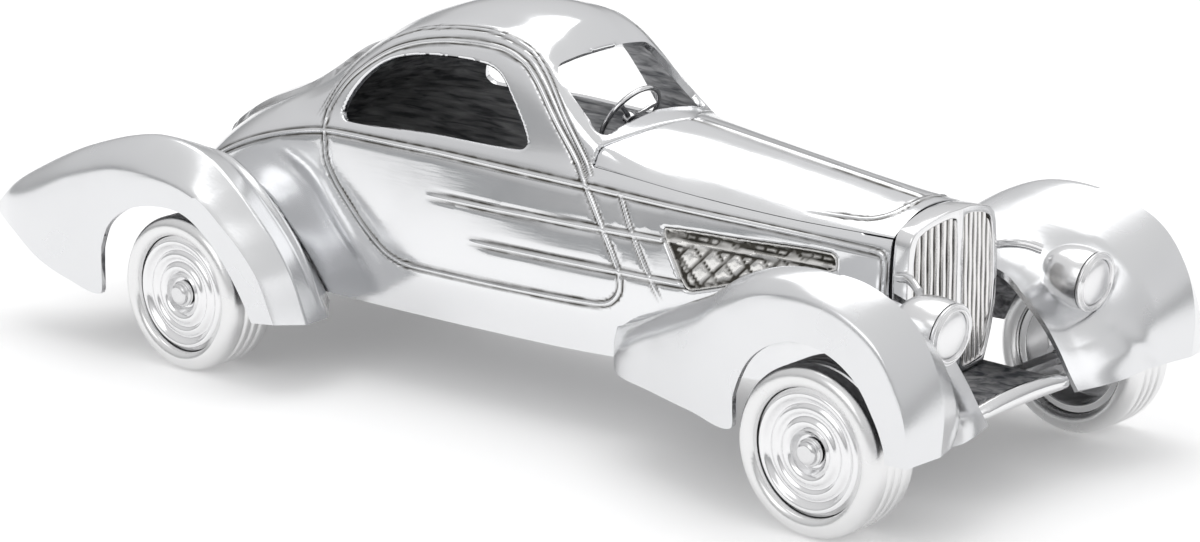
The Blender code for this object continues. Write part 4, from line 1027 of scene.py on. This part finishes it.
def swept(name, rings, material):
    """A bar from closed rings of points, capped at both ends."""
    count = len(rings[0])
    points = np.concatenate(rings) + np.array([MID_AXLE_X, 0, 0])
    faces = [[a * count + b, (a + 1) * count + b, (a + 1) * count + (b + 1) % count,
              a * count + (b + 1) % count] for a in range(len(rings) - 1) for b in range(count)]
    faces += [list(range(count)), list(range(len(points) - count, len(points)))[::-1]]
    obj = mesh_object(name, points, faces, (material,))
    mesh = obj.data
    data = bmesh.new()
    data.from_mesh(mesh)
    bmesh.ops.recalc_face_normals(data, faces=data.faces)
    data.to_mesh(mesh)
    data.free()
    mesh.shade_smooth()
    mesh.set_sharp_from_angle(angle=math.radians(50))
    return obj


trim_metal = polished("polished_trim_aluminium", (0.84, 0.84, 0.845), 0.12, 0.05, 0.08, 0.3)
turns = np.linspace(0, 2 * math.pi, 24, endpoint=False)
bar_path = smooth_curve([(144, 27.6, 76.6), (149, 29.6, 77.4), (154, 32.4, 77), (158.4, 35.2, 75.4)])
bar_rings = []
for spot, ahead in zip(bar_path, np.gradient(bar_path, axis=0)):
    ahead /= np.linalg.norm(ahead)
    beside = np.cross(ahead, (0, 0, 1))
    beside /= np.linalg.norm(beside)
    above = np.cross(beside, ahead)
    waist = 1 - 0.28 * np.exp(-((turns - 0.1) / 0.3)**2)
    bar_rings.append(spot + (np.cos(turns) * 1.3 * waist)[:, None] * beside
                     + (np.sin(turns) * 1.9)[:, None] * above)
for side, sign in (("right", -1), ("left", 1)):
    piece = swept(f"lamp_bar_{side}", [ring * [1, sign, 1] for ring in bar_rings], trim_metal)
    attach(piece, "car")
    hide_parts(f"headlamp_bracket_{side}")
apron_rings = []
for y in np.linspace(-25.2, 25.2, 61):
    bow = 1 - (y / 26)**2
    x, low, top = 177.4 + 1.4 * bow, 31 + 1.2 * bow, 36.2 + 2.8 * bow
    section = smooth_curve([(x - 0.6, low + 0.2), (x + 0.5, low + 1.6), (x + 0.3, low + (top - low) * 0.6),
                            (x - 1.2, top - 0.2), (x - 2.4, top), (x - 3.5, top - 0.9), (x - 2.6, low + 0.6)],
                           closed=True, spacing=0.9)
    apron_rings.append(np.array([(a, y, b) for a, b in section[:20]]))
shortest = min(len(ring) for ring in apron_rings)
apron = swept("apron_rail", [ring[:shortest] for ring in apron_rings], trim_metal)
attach(apron, "car")
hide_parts("apron_bar")

# Grille surround.
# A deep polished frame, pointed in plan, with an arched opening on each side of its centre post. It closes
# the front of the engine bay.
GRILLE_BACK_X = 139.6
GRILLE_RIB_X = 149.6
GRILLE_CORNER_X = 146.4
GRILLE_HALF = 25.0
GRILLE_FOOT = 37.2


def prism(name, outline, way):
    """A block: an outline is drawn, filled and pulled out along a direction, in world millimetres."""
    obj = drawn_line(name, [Vector(p) * MM for p in outline])
    bpy.ops.mesh.edge_face_add()
    bpy.ops.mesh.extrude_region_move(TRANSFORM_OT_translate={"value": Vector(way) * MM})
    closed_up()
    return obj


def only(obj):
    """Selects one object and makes it the active one."""
    bpy.ops.object.select_all(action="DESELECT")
    bpy.context.view_layer.objects.active = obj
    obj.select_set(True)


def carve(obj, tool, operation="DIFFERENCE"):
    """Cuts one piece with another and throws the tool away."""
    cut = obj.modifiers.new("cut", "BOOLEAN")
    cut.operation = operation
    cut.solver = "EXACT"
    cut.object = tool
    only(obj)
    bpy.ops.object.modifier_apply(modifier="cut")
    bpy.data.objects.remove(tool)


def eased(obj, width, segments=3, angle=40):
    """Rounds a piece's sharp edges."""
    ease = obj.modifiers.new("ease", "BEVEL")
    ease.width = width * MM
    ease.segments = segments
    ease.limit_method = "ANGLE"
    ease.angle_limit = math.radians(angle)
    only(obj)
    bpy.ops.object.modifier_apply(modifier="ease")
    bpy.ops.object.shade_smooth_by_angle(angle=math.radians(40))


def pointed(obj, back_off):
    """Cuts a block's front to the grille's shallow V, with its ridge on the centre line."""
    lean = math.atan2(GRILLE_RIB_X - GRILLE_CORNER_X, GRILLE_HALF)
    for sign in (-1, 1):
        only(obj)
        bpy.ops.object.mode_set(mode="EDIT")
        bpy.ops.mesh.select_all(action="SELECT")
        bpy.ops.mesh.bisect(plane_co=((GRILLE_RIB_X - back_off + MID_AXLE_X) * MM, 0, 0),
                            plane_no=(math.cos(lean), sign * math.sin(lean), 0), use_fill=True,
                            clear_outer=True)
        bpy.ops.object.mode_set(mode="OBJECT")


half_outline = smooth_curve([(0, 96), (6, 95.7), (12, 94.6), (17.5, 93), (21, 91.6), (23.6, 89.2), (24.8, 84),
                             (25.8, 72), (25, 58), (22.6, 49), (20.5, 44), (17, GRILLE_FOOT)], spacing=1.0)
around = [(y, z) for y, z in half_outline] + [(-y, z) for y, z in half_outline[:0:-1]]
surround = prism("grille_surround", [(GRILLE_BACK_X + MID_AXLE_X, y, z) for y, z in around], (14, 0, 0))
pointed(surround, 0)
half_opening = smooth_curve([(1.9, 91.6), (4.4, 92.8), (11, 92), (17, 90.4), (20.4, 88.4), (21.9, 84),
                             (23, 72), (22.4, 58), (20, 49), (16.4, 40.4), (12, 39.4), (4, 39.2),
                             (1.9, 40.6), (1.7, 66)], closed=True, spacing=0.8)
for sign in (-1, 1):
    hole = [(GRILLE_BACK_X + MID_AXLE_X - 3, sign * y, z) for y, z in half_opening]
    carve(surround, prism("grille_hole", hole, (20, 0, 0)))
eased(surround, 0.55)
surround.data.materials.append(trim_metal)
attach(surround, "car")
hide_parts("grille_shell", "grille_centre_rib")

# Grille bars.
# Upright rounded bars cast side by side on a backing sheet, one sheet in each opening, bright on their
# ridges and antiqued in the grooves between.
BARS = 7
bar_metal = polished("antiqued_grille_bars", (0.84, 0.83, 0.82), 0.16, 0.06, 0.10, 0.5)
bar_pitch = 21.6 / BARS
bar_y = np.linspace(1.2, 24.4, BARS * 24)
phase = ((bar_y - 1.7) / bar_pitch) % 1
swell = np.sqrt(np.clip(1 - ((phase - 0.5) / 0.36)**2, 0, 1))
bar_depth = 1.1 + 1.9 * (1 - swell)
top_edge = np.interp(bar_y, *np.array([(y, z - 1.2) for y, z in half_outline if z > 88]).T)
low_edge = np.interp(-bar_y, *np.array([(-y, z + 0.8) for y, z in half_outline if z < 72]).T)
low_edge = np.where(bar_y < 17, GRILLE_FOOT + 0.6, low_edge)
share = np.linspace(0, 1, 60)[:, None]
bar_z = low_edge + (np.where(bar_y > 22.8, np.minimum(top_edge, 86), top_edge) - low_edge) * share
bar_front = GRILLE_RIB_X - (GRILLE_RIB_X - GRILLE_CORNER_X) * bar_y / GRILLE_HALF - bar_depth
jitter = 0.12 * np.sin(bar_z * 0.31 + np.floor((bar_y - 1.7) / bar_pitch) * 2.1)
bar_grid = np.stack([np.broadcast_to(bar_front, bar_z.shape), np.broadcast_to(bar_y, bar_z.shape) + jitter,
                     bar_z], 2)
bar_dark = np.broadcast_to(np.clip((0.75 - swell) * 1.5, 0, 1), bar_z.shape).reshape(-1)
tall, wide = bar_z.shape
bar_quads = [[a * wide + b, a * wide + b + 1, (a + 1) * wide + b + 1, (a + 1) * wide + b]
             for a in range(tall - 1) for b in range(wide - 1)]
flat_bars = bar_grid.reshape(-1, 3)
back_bars = flat_bars.copy()
back_bars[:, 0] = GRILLE_BACK_X + 1.2
for side, sign in (("right", -1), ("left", 1)):
    mirror = np.array([1, sign, 1])
    facing = [q[::-1] if sign < 0 else q for q in bar_quads]
    piece = shell_object(f"grille_bar_sheet_{side}", flat_bars * mirror, back_bars * mirror, bar_dark, facing,
                         None, bar_metal, bar_metal)
    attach(piece, "car")
    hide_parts(f"grille_bars_{side}")

# Steering wheel.
# A cast ring with a domed hub and three flat spokes, polished, set low behind the windscreen on the left.
wheel_axis = Vector((0.866, 0, -0.5)).normalized()
wheel_hub = Vector((-10.5 + MID_AXLE_X, 13.0, 100.5))
tilt = wheel_axis.to_track_quat("Z", "Y")
bpy.ops.object.select_all(action="DESELECT")
bpy.ops.mesh.primitive_torus_add(location=wheel_hub * MM, rotation=tilt.to_euler(), major_segments=96,
                                 minor_segments=16, major_radius=0.014, minor_radius=0.001)
ring = bpy.context.object
ring.name = "steering_ring"
bpy.ops.object.transform_apply(location=True, rotation=True, scale=True)
boss_profile = rounded([(0, -2.4), (1.6, -2.2), (2.6, -1.2), (2.7, 1.4), (0, 1.4)], 0.4)
carve(ring, lathe("boss", boss_profile, wheel_hub, wheel_axis, 48), "UNION")
for angle in (90, 210, 330):
    out = wheel_axis.orthogonal().normalized()
    out.rotate(Quaternion(wheel_axis, math.radians(angle)))
    wide_way = wheel_axis.cross(out)
    corners = [(0.8, -1.1), (7, -0.75), (13.9, -0.9), (13.9, 0.9), (7, 0.75), (0.8, 1.1)]
    spoke = prism("spoke", [wheel_hub + out * a + wide_way * b - wheel_axis * 0.4 for a, b in corners],
                  wheel_axis * 0.8)
    carve(ring, spoke, "UNION")
eased(ring, 0.18, 2)
ring.data.materials.clear()
ring.data.materials.append(trim_metal)
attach(ring, "car")
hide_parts("steering_wheel")

# Floor, carriers, column and dashboard.
# Plain castings left as they come from the sand and brushed over once, dark where no one looks.
rough_metal = rasped("rough_cast_floor", (0.06, 0.065, 0.075), (0.42, 0.42, 0.43), (180, 260, 300))
for name in ("floor_plate", "front_axle_carrier", "rear_axle_carrier", "steering_column", "dashboard"):
    bpy.data.objects[name].data.materials.clear()
    bpy.data.objects[name].data.materials.append(rough_metal)

# Axles, collars and screws.
# Bright turned steel with fine tool marks and a slightly cloudy gloss.
steel_metal = polished("turned_steel_rod", (0.56, 0.56, 0.57), 0.28, 0.08, 0.05, 0.5)
corners = [f"{end}_{side}" for end in ("front", "rear") for side in ("left", "right")]
for name in (["front_axle", "rear_axle"] + [f"axle_collar_{c}" for c in corners]
             + [f"floor_screw_{k}" for k in (1, 2, 3, 4)]):
    bpy.data.objects[name].data.materials.clear()
    bpy.data.objects[name].data.materials.append(steel_metal)
